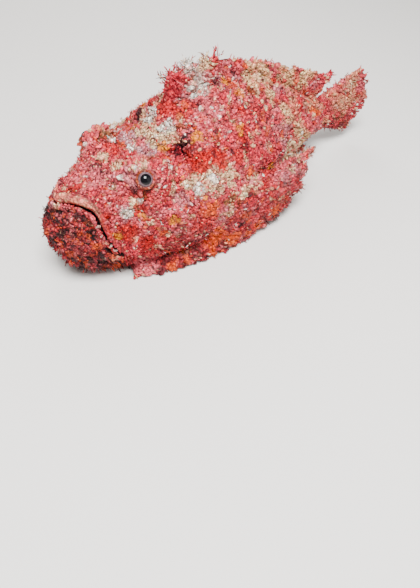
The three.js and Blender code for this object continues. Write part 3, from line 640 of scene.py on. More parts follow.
def closed_form(name, rings, around, place):
    """A closed piece shaped from a sphere, its rings set from one end of the piece to the other"""
    bpy.ops.object.select_all(action="DESELECT")
    bpy.ops.mesh.primitive_uv_sphere_add(segments=around, ring_count=rings, radius=1)
    piece = bpy.context.active_object
    piece.name = name
    piece.data.name = name
    put_in_order(piece.data)
    ball = read(piece.data.vertices, "co", 3)
    ring = np.round(np.arccos(np.clip(ball[:, 2], -1, 1)) / math.pi * rings) / rings
    turn = np.round(np.mod(np.arctan2(ball[:, 1], ball[:, 0]), TURN) / TURN * around) % around
    write_places(piece.data, place(ring, turn / around))
    bpy.ops.object.shade_smooth()
    face_outwards(piece.data)
    return piece


def face_outwards(mesh):
    """Turns a closed mesh's faces outwards where they point in"""
    mesh.calc_loop_triangles()
    corners = read(mesh.loop_triangles, "vertices", 3, int)
    a, b, c = (read(mesh.vertices, "co", 3)[corners[:, k]] for k in range(3))
    if np.sum(a * np.cross(b, c)) < 0:
        mesh.flip_normals()
        mesh.update()


def crust(points, size):
    """Rise of the hide's own crusty lumps over a piece, and how high each point stands in them"""
    coarse = pebbles(points, 2.1 * size, 21)
    small = pebbles(points + 1.3 * noise(points, 3, 26)[:, None], size, 31)
    fine = noise(points, 0.45 * size, 24)
    rise = 0.55 * coarse + 0.35 * small + 0.1 * fine
    return rise, np.clip(0.5 * coarse + 0.5 * small, 0, 1)


def roughen(piece, depth, size, calm=1.0):
    """Raises the crust on a piece, and gives its places on the straight fish, their markings
    and how high they stand in the crust"""
    mesh = piece.data
    points = read(mesh.vertices, "co", 3) / MM
    straight = straighten(points)
    rise, standing = crust(straight, size)
    moved = points + vertex_normals(mesh) * (depth * rise * calm)[:, None]
    moved[:, 2] = np.maximum(moved[:, 2], 0)
    write_places(mesh, moved)
    colours = hide_colours(straight)
    return straight, colours, standing


def finish(piece, material, replaced=()):
    """Gives a piece its material, hangs it under the part's root and hides the nodes that it takes
    the place of
    """
    piece.data.materials.clear()
    piece.data.materials.append(material)
    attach(piece, "root")
    if replaced:
        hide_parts(*replaced)


class Value:
    """A socket that takes part in sums"""

    def __init__(self, graph, socket):
        self.graph = graph
        self.socket = socket

    def math(self, operation, a, b=0.0):
        """One sum, with values or plain numbers"""
        made = self.graph.node("ShaderNodeMath", {"operation": operation}, {0: a, 1: b})
        return Value(self.graph, made.outputs[0])

    def __add__(self, other):
        return self.math("ADD", self, other)

    def __radd__(self, other):
        return self.math("ADD", other, self)

    def __sub__(self, other):
        return self.math("SUBTRACT", self, other)

    def __rsub__(self, other):
        return self.math("SUBTRACT", other, self)

    def __mul__(self, other):
        return self.math("MULTIPLY", self, other)

    def __rmul__(self, other):
        return self.math("MULTIPLY", other, self)

    def __truediv__(self, other):
        return self.math("DIVIDE", self, other)

    def __rtruediv__(self, other):
        return self.math("DIVIDE", other, self)


class Graph:
    """The nodes of one material"""

    def __init__(self, name):
        self.material = bpy.data.materials.new(name)
        self.material.use_nodes = True
        self.tree = self.material.node_tree
        self.shader = next(n for n in self.tree.nodes if n.type == "BSDF_PRINCIPLED")

    def node(self, kind, settings=None, values=None):
        """A node of one kind, its settings first and then the values or links of its sockets"""
        made = self.tree.nodes.new(kind)
        for key, setting in (settings or {}).items():
            setattr(made, key, setting)
        for key, value in (values or {}).items():
            self.feed(made.inputs[key], value)
        return made

    def feed(self, socket, value):
        """Links a socket or sets its own value"""
        if isinstance(value, Value):
            self.tree.links.new(value.socket, socket)
        elif hasattr(value, "__len__") and socket.type == "RGBA":
            socket.default_value = (*value, 1)
        else:
            socket.default_value = value

    def out(self, node, name):
        """One output of a node"""
        return Value(self, node.outputs[name])

    def place(self):
        """Object coordinates"""
        return self.out(self.node("ShaderNodeTexCoord"), "Object")

    def attribute(self, name, output):
        """One of the piece's own attributes"""
        return self.out(self.node("ShaderNodeAttribute", {"attribute_name": name}), output)

    def grain(self, place, size, detail=2.0):
        """Noise from 0 to 1 whose grains are size metres across"""
        made = self.node("ShaderNodeTexNoise", {}, {
            "Vector": place, "Scale": 1 / size, "Detail": detail, "Roughness": 0.6})
        return self.out(made, "Fac")

    def between(self, value, low, high):
        """A smooth step from 0 at low to 1 at high"""
        made = self.node("ShaderNodeMapRange", {"interpolation_type": "SMOOTHSTEP"}, {
            "Value": value, "From Min": low, "From Max": high})
        return self.out(made, "Result")

    def scaled(self, colour, factor):
        """A colour made lighter or darker"""
        made = self.node("ShaderNodeVectorMath", {"operation": "SCALE"}, {
            0: colour, "Scale": factor})
        return self.out(made, "Vector")

    def mixed(self, factor, a, b):
        """From colour a to colour b"""
        made = self.node("ShaderNodeMix", {"data_type": "RGBA"}, {0: factor, 6: a, 7: b})
        return Value(self, made.outputs[2])

    def bump(self, height, strength, distance):
        """A normal that follows a height, distance being its full rise in metres"""
        made = self.node("ShaderNodeBump", {}, {
            "Height": height, "Strength": strength, "Distance": distance})
        return self.out(made, "Normal")

    def set(self, **values):
        """Feeds the shader's own sockets and gives the material"""
        for key, value in values.items():
            self.feed(self.shader.inputs[key.replace("_", " ")], value)
        return self.material


# In metres: the dabs that the markings break up into, how wavy their edges are, and the finest
# flecks; and how close the waves of those edges lie
DAB_SIZE = 0.0028
STIR = 0.0016
FLECK_SIZE = 0.0011
STIR_SCALE = 700


def hide_material(name, hollow, wet):
    """Crusty hide: its markings in small dabs, with painted shade in the cracks between them and
    on the lowest places of the crust. hollow is the painted light of the lowest places as a share,
    and wet how much glossier the highest are. Pure reds take fewer flecks"""
    graph = Graph(name)
    place = graph.place()
    marking = graph.attribute("marking", "Color")
    standing = graph.attribute("standing", "Fac")
    stir = graph.node("ShaderNodeTexNoise", {}, {"Vector": place, "Scale": STIR_SCALE})
    stirred = graph.out(graph.node("ShaderNodeVectorMath", {"operation": "MULTIPLY_ADD"}, {
        0: graph.out(stir, "Color"), 1: (STIR,) * 3, 2: place}), "Vector")
    dabs = graph.node("ShaderNodeTexVoronoi", {}, {"Vector": stirred, "Scale": 1 / DAB_SIZE})
    dab = graph.node("ShaderNodeSeparateColor", {}, {"Color": graph.out(dabs, "Color")})
    shade, other = graph.out(dab, "Red"), graph.out(dab, "Green")
    edge = graph.out(graph.node("ShaderNodeTexVoronoi", {"feature": "DISTANCE_TO_EDGE"}, {
        "Vector": stirred, "Scale": 1 / DAB_SIZE}), "Distance")
    crack = graph.between(edge, 0.02, 0.16)
    fleck = graph.grain(place, FLECK_SIZE, 3.0)

    parts = graph.node("ShaderNodeSeparateColor", {}, {"Color": marking})
    green = graph.out(parts, "Green") / (graph.out(parts, "Red") + 0.001)
    mild = graph.between(green, 0.01, 0.06)
    lively = graph.between(graph.grain(place, 0.009), 0.44, 0.62) * mild
    # painted shade: the base colour is darker on the low places of the crust and in the cracks
    # between the dabs; the dabs' own tone differs at random
    light = (hollow + (1 - hollow) * standing) * (0.5 + 0.5 * crack) * (0.8 + 0.5 * shade)
    colour = graph.scaled(marking, light)
    paled = graph.mixed(0.4 * graph.between(other, 0.88, 0.92) * mild, colour,
                        graph.scaled(tuple(BLUSH), light))
    reddened = graph.mixed(0.45 * graph.between(other, 0.14, 0.1), paled,
                           graph.scaled(tuple(RED), light))
    specked = graph.mixed(0.7 * standing * lively * graph.between(fleck, 0.60, 0.67), reddened,
                          tuple(CREAM * 0.9))
    deep = graph.mixed((0.35 + 0.4 * lively) * graph.between(fleck, 0.41, 0.34), specked,
                       tuple(MAROON * 0.4))
    height = 0.5 * fleck + 0.5 * crack
    return graph.set(
        Base_Color=deep,
        Roughness=0.66 - wet * standing + 0.2 * (fleck - 0.5),
        Specular_IOR_Level=0.25,
        Normal=graph.bump(height, 0.8, 0.0012),
    )


class StonefishSkinSettings(bpy.types.PropertyGroup):
    """Sizes of the skin"""

    coat_depth: bpy.props.FloatProperty(
        name="Coat depth", description="How far the skin lies inside the solid flesh",
        default=1.1 * MM, unit="LENGTH")
    crust_depth: bpy.props.FloatProperty(
        name="Crust depth", description="Height of the lumps in the skin's own surface",
        default=1.9 * MM, unit="LENGTH")
    crust_size: bpy.props.FloatProperty(
        name="Crust size", description="Size across of the skin's small lumps",
        default=4.2 * MM, unit="LENGTH")
    mouth_depth: bpy.props.FloatProperty(
        name="Mouth depth", description="Depth of the dark gap between the lips",
        default=9 * MM, unit="LENGTH")


class StonefishFinSettings(bpy.types.PropertyGroup):
    """Sizes of the fins"""

    ragged: bpy.props.FloatProperty(
        name="Ragged margin",
        description="How far the skin between two rays is cut back, as a share",
        default=0.11, min=0, max=0.4, subtype="FACTOR")
    crust_depth: bpy.props.FloatProperty(
        name="Crust depth", description="Height of the lumps on the fins",
        default=1.3 * MM, unit="LENGTH")


class StonefishEyeSettings(bpy.types.PropertyGroup):
    """Sizes and colour of the eyes"""

    ball: bpy.props.FloatProperty(
        name="Eyeball radius", description="Radius of the eyeball",
        default=5.8 * MM, unit="LENGTH")
    sunk: bpy.props.FloatProperty(
        name="Eyeball depth", description="How deep the middle of the eyeball lies",
        default=2.6 * MM, unit="LENGTH")
    pupil: bpy.props.FloatProperty(
        name="Pupil radius", description="Radius of the black pupil",
        default=3.8 * MM, unit="LENGTH")
    ring_colour: bpy.props.FloatVectorProperty(
        name="Ring", description="Colour of the ring round the pupil", subtype="COLOR", size=3,
        default=tuple(tone("#6A545A")), min=0, max=1)


class StonefishCoatSettings(bpy.types.PropertyGroup):
    """How close the tufts of the coat stand"""

    knob_spacing: bpy.props.FloatProperty(
        name="Knob spacing", description="Distance between the larger knobs",
        default=3.0 * MM, unit="LENGTH")
    grain_spacing: bpy.props.FloatProperty(
        name="Grain spacing", description="Distance between the small round grains",
        default=2.0 * MM, unit="LENGTH")
    petal_spacing: bpy.props.FloatProperty(
        name="Flake spacing", description="Distance between the thin ragged flakes",
        default=2.15 * MM, unit="LENGTH")
    tendril_spacing: bpy.props.FloatProperty(
        name="Tendril spacing", description="Distance between the branching tendrils",
        default=7 * MM, unit="LENGTH")


class StonefishStageSettings(bpy.types.PropertyGroup):
    """The floor and the lights"""

    floor_colour: bpy.props.FloatVectorProperty(
        name="Floor", description="Colour of the floor", subtype="COLOR", size=3,
        default=tuple(tone("#D9D6D2")), min=0, max=1)
    key_power: bpy.props.FloatProperty(
        name="Key light", description="Power of the main soft light",
        default=36, min=0, unit="POWER")
    fill_power: bpy.props.FloatProperty(
        name="Fill light", description="Power of the fill light", default=3, min=0, unit="POWER")
    rim_power: bpy.props.FloatProperty(
        name="Rim light", description="Power of the light behind", default=5, min=0, unit="POWER")
    surround: bpy.props.FloatProperty(
        name="Surround", description="Strength of the even light all round", default=0.38, min=0)


# Share of the skin's rings up to each distance s, closest on the face
RING_SHARE = [0, 0.21, 0.60, 0.87, 1]
RING_S = [0, FACE_DEPTH, 120, 240, FLESH_LENGTH + 2]
SKIN_RINGS = 430
SKIN_AROUND = 224
BELLY_STRETCH = 0.4


def skin_places(ring, turn):
    """s and the angle round the body for a share of the rings and of the turn"""
    s = np.interp(ring, RING_SHARE, RING_S)
    on_face = np.clip(ring / RING_SHARE[1], 0, 1)
    s = np.where(ring < RING_SHARE[1], FACE_DEPTH * (1 - np.cos(QUARTER * on_face)), s)
    spread = turn + BELLY_STRETCH * np.sin(TURN * turn) / TURN
    return s, 1.5 * math.pi + TURN * spread


# Half the width of the mouth's gap, and the depth and width of the fold behind its corner
MOUTH_OPENING = 1.5
FOLD_DEPTH = 4.5
FOLD_WIDTH = 2.4
# Distances across the mouth between which the upper lip gets narrow, and on the fish's right
# side those between which it sinks into the face
LIP_NARROWS = 10, 27
LIP_SINKS = 3, 14
LIP_SUNK = 0.6
# Bare skin with no tufts: over the mouth line at its middle and corners, under that line,
# round the eye and along the fold
BARE_OVER_MOUTH = 9.4, 3.8
BARE_UNDER_MOUTH = 1.4
BARE_EYE = 6.2
BARE_FOLD = 1.4
# Each lip's distance from the mouth line and its radius, at the middle and at the corners
LIPS = {
    "upper_lip": {"away": (5.2, 3.2), "radius": (4.4, 1.9), "slot": "skin"},
    "lower_lip": {"away": (-2.3, -2.0), "radius": (1.7, 1.2), "slot": "jaw_skin"},
}
# The same two measures for the upper lip's pale band
LIP_BAND = {"away": (5.2, 3.0), "radius": (4.3, 1.8)}


def fold_distance(points):
    """Distance on either side from the dark fold behind the corner of the mouth"""
    path = np.array(MOUTH_FOLD, float)
    share = np.linspace(0, len(path) - 1, 30)
    path = np.stack([np.interp(share, range(len(path)), path[:, k]) for k in range(3)], axis=-1)
    path = plain_point(path[:, 0], angle_toward(*path.T))
    nearest = np.full(len(points), 99.0)
    for place in path:
        nearest = np.minimum(nearest, np.linalg.norm(folded(points) - place, axis=-1))
    return nearest


class STONEFISH_OT_skin(bpy.types.Operator):
    """One skin over the head, jaw, trunk and tail, with the lips"""

    bl_idname = "stonefish.skin"
    bl_label = "Build the skin"

    def execute(self, context):
        sizes = context.scene.stonefish_skin
        depth = sizes.coat_depth / MM
        gap = sizes.mouth_depth / MM
        found = {}

        def place(ring, turn):
            s, angle = skin_places(ring, turn)
            plain = plain_point(s, angle)
            folds = fold_distance(plain)
            mouth = np.where(s < JAW_HINGE_S + 4, from_mouth(plain), 99)
            found.update(mouth=mouth, folds=folds)
            sunk = np.maximum(gap * np.exp(-(mouth / MOUTH_OPENING) ** 4),
                              FOLD_DEPTH * bell(folds, FOLD_WIDTH))
            points = skin_point(s, angle, -depth) - plain_normal(s, angle) * sunk[:, None]
            points[:, 2] = np.maximum(points[:, 2], 0)
            return settle(points)

        skin = closed_form("skin", SKIN_RINGS, SKIN_AROUND, place)
        mouth, folds = found["mouth"], found["folds"]
        straight = straighten(read(skin.data.vertices, "co", 3) / MM)
        eyes = np.linalg.norm(folded(straight) - np.array(EYE), axis=-1)
        calm = step_between(3, 7, np.abs(mouth)) * mix(0.25, 1, step_between(7, 12, eyes))
        straight, colours, standing = roughen(
            skin, sizes.crust_depth / MM, sizes.crust_size / MM, calm)
        # painted shadow: near-black in the mouth's gap and in the fold behind its corner
        dark = np.maximum(step_between(2.4, 1.4, np.abs(mouth)), step_between(3.6, 1.8, folds))
        crusty = crustiness(colours)[:, None]
        # painted shade: the skin under the tufts is darkened and tinted maroon or rust, so that
        # the spaces between tufts look shaded
        shaded_gaps = mix(blend(colours * 0.6, MAROON, 0.35), blend(colours * 0.4, RUST, 0.45), crusty)
        paint(skin.data, blend(shaded_gaps, SHADOW, dark), standing * (1 - dark))
        top = mix(*BARE_OVER_MOUTH, step_between(*LIP_NARROWS, np.abs(straight[:, 1])))
        top = top * mix(1, LIP_SUNK, step_between(*LIP_SINKS, straight[:, 1]))
        bare = (mouth > -BARE_UNDER_MOUTH) & (mouth < top)
        bare = bare | (eyes < BARE_EYE) | (folds < BARE_FOLD)
        rooted = skin.data.attributes.new("rooted", "FLOAT", "POINT")
        rooted.data.foreach_set("value", 1.0 - bare)
        material = hide_material("crusty_hide", 0.42, 0.22)
        finish(skin, material, ("head", "lower_jaw", "trunk", "tail"))

        for name, lip_sizes in LIPS.items():
            lip = closed_form(name, 260, 32, lip_shape(lip_sizes["away"], lip_sizes["radius"]))
            straight = straighten(read(lip.data.vertices, "co", 3) / MM)
            if name == "upper_lip":
                colours = lip_colours(straight)
            else:
                # painted shadow: the lower lip lies in the shade under the upper lip
                colours = blend(hide_colours(straight), SHADOW, 0.75)
            paint(lip.data, colours, 0.5 + 0.5 * pebbles(straight, 1.5, 43))
            finish(lip, hide_material(f"{name}_skin", 0.5, 0.3))
        return {"FINISHED"}


def lip_colours(points):
    """Pale pink, speckled towards the fish's right side, with painted shade along its edges and
    red corners
    """
    side = step_between(*LIP_NARROWS, np.abs(points[:, 1]))
    away, radius = mix(*LIP_BAND["away"], side), mix(*LIP_BAND["radius"], side)
    edge = np.abs(from_mouth(points) - away) / radius
    colours = np.tile(LIP, (len(points), 1))
    colours = blend(colours, ROSE, 0.7 * step_between(-0.1, 0.4, noise(points, 4, 40)))
    speckled = 0.6 + 0.4 * step_between(-8, 4, points[:, 1])
    colours = blend(colours, CREAM, speckled * step_between(0.2, 0.4, noise(points, 1.6, 41)))
    colours = blend(colours, MAROON, speckled * step_between(0.2, 0.4, noise(points, 1.5, 42)))
    # painted shade: maroon along the lip's edges, where it turns into the groove and the mouth's
    # gap
    colours = blend(colours, MAROON, 0.75 * step_between(0.5, 1.0, edge))
    return blend(colours, RED, 0.8 * step_between(24, 30, np.abs(points[:, 1])))


def lip_shape(away, radius):
    """A flattish fold that follows the mouth line and narrows towards its corners"""
    def place(ring, turn):
        rows = np.linspace(0, 1, 500)
        y = across_mouth(rows)
        corner = (np.abs(y) / MOUTH_HALF_WIDTH) ** 2
        path = near_mouth(y, mix(*away, corner))
        along = unit(np.gradient(path, axis=0))
        forward = unit(np.array([-1.0, 0, 0]) - along * (-along[:, :1]))
        other = np.cross(along, forward)

        def at(values):
            return np.stack([np.interp(ring, rows, values[:, k]) for k in range(3)], axis=-1)

        end = np.sqrt(np.clip(1 - np.abs(2 * ring - 1) ** 14, 0, 1))
        sunk = mix(1, LIP_SUNK, step_between(*LIP_SINKS, y))
        wide = np.interp(ring, rows, mix(*radius, corner) * sunk) * end
        angle = TURN * turn
        around = (0.62 * at(forward) * np.cos(angle)[:, None]
                  + at(other) * np.sin(angle)[:, None])
        points = at(path) + around * wide[:, None]
        streaks = noise(np.stack([260 * ring, 1.3 * np.sin(angle), 0 * ring], axis=-1), 2.4, 44)
        crinkle = 0.3 * streaks + 0.22 * noise(points, 1.2, 45)
        return settle(points + around * (crinkle * end)[:, None])
    return place


def spine_place(number):
    """How far back a spine of the dorsal fin stands"""
    front = min(number, FRONT_SPINES - 1) * FRONT_SPINE_STEP
    return SPINE_START + front + max(number - FRONT_SPINES + 1, 0) * SPINE_STEP


# How much of the height is left between the first spines, and between the others
FRONT_NOTCHES = (0.55, 0.22)
NOTCH = 0.8

# Stretch of the body that each fin grows from and its number of rays
ANAL_ROOT = 204, 262
ANAL_RAYS = 8
CAUDAL_RAYS = 12
PELVIC_RAYS = 6
PECTORAL_RAYS = 17
# The pectoral fin's root along the body and round it, in turns under the middle of the side,
# and its margin's s, distance to the side and height, for shares of the way along the fin
PECTORAL_ROOT = [(0, 54), (0.35, 82), (0.7, 102), (1, 113)]
PECTORAL_TURN = [(0, 0.2), (0.35, 0.165), (0.7, 0.09), (1, -0.03)]
PECTORAL_MARGIN = [
    [(0, 47), (0.15, 69), (0.35, 100), (0.55, 136), (0.75, 177), (0.9, 214), (1, 227)],
    [(0, 38), (0.15, 50), (0.35, 58), (0.55, 62), (0.75, 62), (0.9, 59.5), (1, 52)],
    [(0, 2), (0.15, 2), (0.35, 2), (0.55, 2.5), (0.75, 6), (0.9, 27), (1, 53)],
]
PECTORAL_FACING = (-0.1, 0.75, 0.65)
# The first and the last ray of the pelvic fin, each from root to tip
PELVIC_FIRST = (104, 42, 5), (148, 53, 1.6)
PELVIC_LAST = (120, 31, 3), (172, 34, 1.6)


def dorsal_heights():
    """Places along the back and the dorsal fin's heights there, as in the solids"""
    chain = draws(31)
    rows = [(SPINE_START - 7, 0), (SPINE_START - 4, 9)]
    for number in range(SPINE_COUNT):
        s = spine_place(number)
        height = float(curve(SPINE_HEIGHTS, s)) * mix(0.92, 1.08, next(chain))
        last = number == SPINE_COUNT - 1
        following = 2 * DORSAL_SPLIT - s if last else spine_place(number + 1)
        notch = FRONT_NOTCHES[number] if number < FRONT_SPINES - 1 else NOTCH
        rows += [(s - 2.4, height * 0.86), (s, height), (s + 2.6, height * 0.88)]
        rows.append(((s + following) / 2, height * notch))
    count = SOFT_RAYS * 2
    for i in range(1, count + 1):
        along = i / count
        rows.append((mix(DORSAL_SPLIT, DORSAL_END, along),
                     mix(*SOFT_HEIGHT, along) * (1 if i % 2 else 0.9)))
    return np.array(rows).T


# Size across of the fins' small lumps
FIN_CRUST_SIZE = 3.2


def ray_ridge(t, rays):
    """1 on each ray and 0 on the skin half way between two rays"""
    return np.abs(np.cos(math.pi * t * rays))


def sheet_form(name, rings, around, sheet):
    """A closed fin: sheet(t, v) gives its middle, the way it faces and half its thickness, with t
    along the fin and v from root to margin"""
    def place(ring, turn):
        v = (1 - np.cos(TURN * turn)) / 2
        inner = np.clip(ring, 0.0008, 0.9992)
        middle, facing, half = sheet(inner, np.where((ring == 0) | (ring == 1), 0.5, v))
        edge = np.abs(np.sin(TURN * turn)) ** 0.55 * np.sign(np.sin(TURN * turn))
        ends = np.clip((1 - np.abs(2 * ring - 1)) * 24, 0, 1) ** 0.5
        return settle(middle + facing * (half * edge * ends)[:, None])
    return closed_form(name, rings, around, place)


class STONEFISH_OT_fins(bpy.types.Operator):
    """The fins, each one thick fleshy sheet over its rays"""

    bl_idname = "stonefish.fins"
    bl_label = "Build the fins"

    def execute(self, context):
        sizes = context.scene.stonefish_fins
        ragged = sizes.ragged
        material = hide_material("crusty_fin", 0.42, 0.2)

        def reach(t, rays, seed):
            """Length of the fin as a share, cut back between its rays"""
            cut = 1 - ragged * (1 - ray_ridge(t, rays) ** 0.8)
            return cut * (1 + 0.05 * noise(np.stack([t * rays, t * 0, t * 0], -1), 0.8, seed))

        def dorsal(t, v):
            """The spiny and the soft fin along the back, leaning more towards the tail"""
            s = mix(SPINE_START - 7, DORSAL_END, t)
            table_s, table_height = dorsal_heights()
            height = np.interp(s, table_s, table_height)
            height = height * (1 + 0.07 * noise(np.stack([s, s * 0, s * 0], -1), 2.2, 51))
            along = np.clip((s - SPINE_START) / (DORSAL_END - SPINE_START), 0, 1)
            lean = mix(0.05, 1.6, along ** 1.5) * height
            root = curve(BACK, s) - ROOT_SINK
            middle = np.stack([s + lean * v, 0 * s, root + (height + ROOT_SINK) * v], -1)
            spines = [spine_place(number) for number in range(SPINE_COUNT)]
            nearest = np.min(np.abs(s[:, None] - np.array(spines)), axis=1)
            half = mix(4.6, 1.9, v) * mix(0.72, 1.1, bell(nearest, 2.6))
            return middle, np.tile((0.0, 1, 0), (len(t), 1)), half * mix(1, 0.62, along)

        def anal(t, v):
            """The low fin under the tail"""
            s = mix(*ANAL_ROOT, t)
            length = reach(t, ANAL_RAYS, 52)
            root = np.maximum(curve(BELLY, s), 0) + ROOT_SINK
            low = mix(0.8, 8, t ** 2) + (1 - length) * 14
            middle = np.stack([s + 19 * v * length, 0 * s, mix(root, low, v)], -1)
            half = mix(3.4, 1.2, v) * mix(0.65, 1, ray_ridge(t, ANAL_RAYS))
            return middle, np.tile((0.0, 1, 0), (len(t), 1)), half

        def caudal(t, v):
            """The rounded fan at the end of the tail"""
            length = reach(t, CAUDAL_RAYS, 53)
            longest = FISH_LENGTH - CHIN_REACH - FLESH_LENGTH + ROOT_SINK
            length = longest * mix(0.74, 1, np.sin(math.pi * t)) * length
            rise = mix(mix(33, 52, t), mix(12, 76, t), v ** 0.85)
            middle = np.stack([FLESH_LENGTH - ROOT_SINK + length * v, 0 * t, rise], -1)
            half = mix(4.2, 1.1, v) * mix(0.62, 1, ray_ridge(t, CAUDAL_RAYS))
            return middle, np.tile((0.0, 1, 0), (len(t), 1)), half

        def pectoral(side):
            """The wide fan behind the gill, swept back along the side"""
            def sheet(t, v):
                s = curve(PECTORAL_ROOT, t)
                angle = -TURN * curve(PECTORAL_TURN, t)
                root = plain_point(s, angle) - plain_normal(s, angle) * ROOT_SINK
                margin = np.stack([curve(row, t) for row in PECTORAL_MARGIN], -1)
                facing = unit(np.array(PECTORAL_FACING))
                out = v * reach(t, PECTORAL_RAYS, 54)
                bulge = mix(12, 36, t) * out * (1 - out)
                middle = mix(root, margin, out[:, None]) + facing * bulge[:, None]
                half = mix(3.6, 1.4, v) * mix(0.55, 1, ray_ridge(t, PECTORAL_RAYS))
                flip = np.array([1, side, 1])
                return middle * flip, np.tile(facing * flip, (len(t), 1)), half
            return sheet

        def pelvic(side):
            """The small fin that lies flat under the belly"""
            def sheet(t, v):
                first, last = np.array(PELVIC_FIRST, float), np.array(PELVIC_LAST, float)
                root = mix(first[0], last[0], t[:, None])
                tip = mix(first[1], last[1], t[:, None])
                middle = mix(root, tip, (v * reach(t, PELVIC_RAYS, 55))[:, None])
                half = mix(2.6, 1.5, v) * mix(0.6, 1, ray_ridge(t, PELVIC_RAYS))
                return middle * (1, side, 1), np.tile((0.0, 0, 1), (len(t), 1)), half
            return sheet

        # Name, rings, points round each ring, sheet, slot and the nodes that it takes the place of
        shapes = [("dorsal_crest", 420, 72, dorsal, "dorsal_membrane",
                   ("dorsal_fin_spiny", "dorsal_fin_soft")),
                  ("anal_fin_hide", 150, 48, anal, "fin_membrane", ("anal_fin",)),
                  ("caudal_fin_hide", 220, 90, caudal, "fin_membrane", ("caudal_fin",))]
        for side, name in ((-1, "left"), (1, "right")):
            shapes.append((f"pectoral_fin_hide_{name}", 320, 100, pectoral(side), "fin_membrane",
                           (f"pectoral_fin_{name}",)))
            shapes.append((f"pelvic_fin_hide_{name}", 110, 60, pelvic(side), "fin_membrane",
                           (f"pelvic_fin_{name}",)))
        for name, rings, around, sheet, slot, replaced in shapes:
            fin = sheet_form(name, rings, around, sheet)
            _, colours, standing = roughen(fin, sizes.crust_depth / MM, FIN_CRUST_SIZE)
            paint(fin.data, colours, standing)
            finish(fin, material, replaced)
        return {"FINISHED"}


# Eyelid: radius of its ring, half its width and height, how deep it lies, and its primitive's tube
LID_RADIUS = 5.8
LID_HALF = 1.0, 1.2
LID_SUNK = 0.7
LID_TUBE = 0.25


def eye_frame(side):
    """Where an eye sits on the skin and which way it looks, in the model's own place"""
    s, y, z = (np.array([float(value)]) for value in EYE)
    surface = settle(skin_point(s, angle_toward(s, side * y, z)))[0]
    return surface, unit(np.array(GAZE) * (1, side, 1))


class STONEFISH_OT_eyes(bpy.types.Operator):
    """Two wet black eyes in pale fleshy rings"""

    bl_idname = "stonefish.eyes"
    bl_label = "Build the eyes"

    def execute(self, context):
        sizes = context.scene.stonefish_eyes
        ball, sunk = sizes.ball / MM, sizes.sunk / MM
        for side, name in ((-1, "left"), (1, "right")):
            surface, gaze = eye_frame(side)
            across = unit(np.cross(gaze, (0, 0, 1)))
            up = np.cross(across, gaze)
            centre = surface - gaze * sunk

            def place(ring, turn):
                out, along = np.sin(math.pi * ring), np.cos(math.pi * ring)
                turned = TURN * turn[:, None]
                around = across * np.cos(turned) + up * np.sin(turned)
                return centre + ball * (gaze * along[:, None] + around * out[:, None])

            eye = closed_form(f"eyeball_{name}", 40, 56, place)
            finish(eye, eye_material(f"wet_eye_{name}", centre + gaze * ball, sizes),
                   (f"eye_{name}",))

            bpy.ops.object.select_all(action="DESELECT")
            bpy.ops.mesh.primitive_torus_add(
                major_segments=72, minor_segments=20, major_radius=1, minor_radius=LID_TUBE)
            lid = bpy.context.active_object
            lid.name = f"eyelid_{name}"
            points = read(lid.data.vertices, "co", 3)
            turn = np.arctan2(points[:, 1], points[:, 0])
            flat = np.hypot(points[:, 0], points[:, 1])
            around = across * np.cos(turn)[:, None] + up * np.sin(turn)[:, None]
            fold = 0.5 * noise(np.stack([np.cos(turn), np.sin(turn), flat], -1) * 6, 1.8, 61)
            radius = LID_RADIUS + (flat - 1) / LID_TUBE * LID_HALF[0] + fold
            height = points[:, 2] / LID_TUBE * LID_HALF[1] - LID_SUNK + 0.5 * fold
            write_places(lid.data, surface + around * radius[:, None] + gaze * height[:, None])
            bpy.ops.object.shade_smooth()
            face_outwards(lid.data)
            straight = straighten(read(lid.data.vertices, "co", 3) / MM)
            colours = blend(np.tile(RUST, (len(straight), 1)), LILAC,
                            0.4 * step_between(-0.1, 0.4, noise(straight, 2.0, 62)))
            colours = blend(colours, MAROON,
                            0.7 * step_between(0.0, 0.5, noise(straight, 1.6, 63)))
            paint(lid.data, colours, 0.6 + 0.4 * pebbles(straight, 1.5, 64))
            finish(lid, hide_material(f"eyelid_skin_{name}", 0.5, 0.3))
        return {"FINISHED"}


def eye_material(name, front, sizes):
    """Wet black pupil in a pale streaked ring; front is the middle of the cornea"""
    graph = Graph(name)
    place = graph.place()
    offset = graph.node("ShaderNodeVectorMath", {"operation": "DISTANCE"},
                        {0: place, 1: Vector(front * MM)})
    radius = graph.out(offset, "Value")
    streak = graph.grain(place, 0.0009)
    ring = graph.between(radius + 0.0006 * (streak - 0.5), sizes.pupil, sizes.pupil + 0.0004)
    pale = graph.mixed(graph.between(streak, 0.35, 0.65), tuple(sizes.ring_colour),
                       tuple(np.array(sizes.ring_colour) * 0.45))
    colour = graph.mixed(ring, (0.002, 0.002, 0.003), pale)
    return graph.set(Base_Color=colour, Roughness=0.1 + 0.2 * ring, Specular_IOR_Level=0.12,
                     Coat_Weight=0.25, Coat_Roughness=0.03)


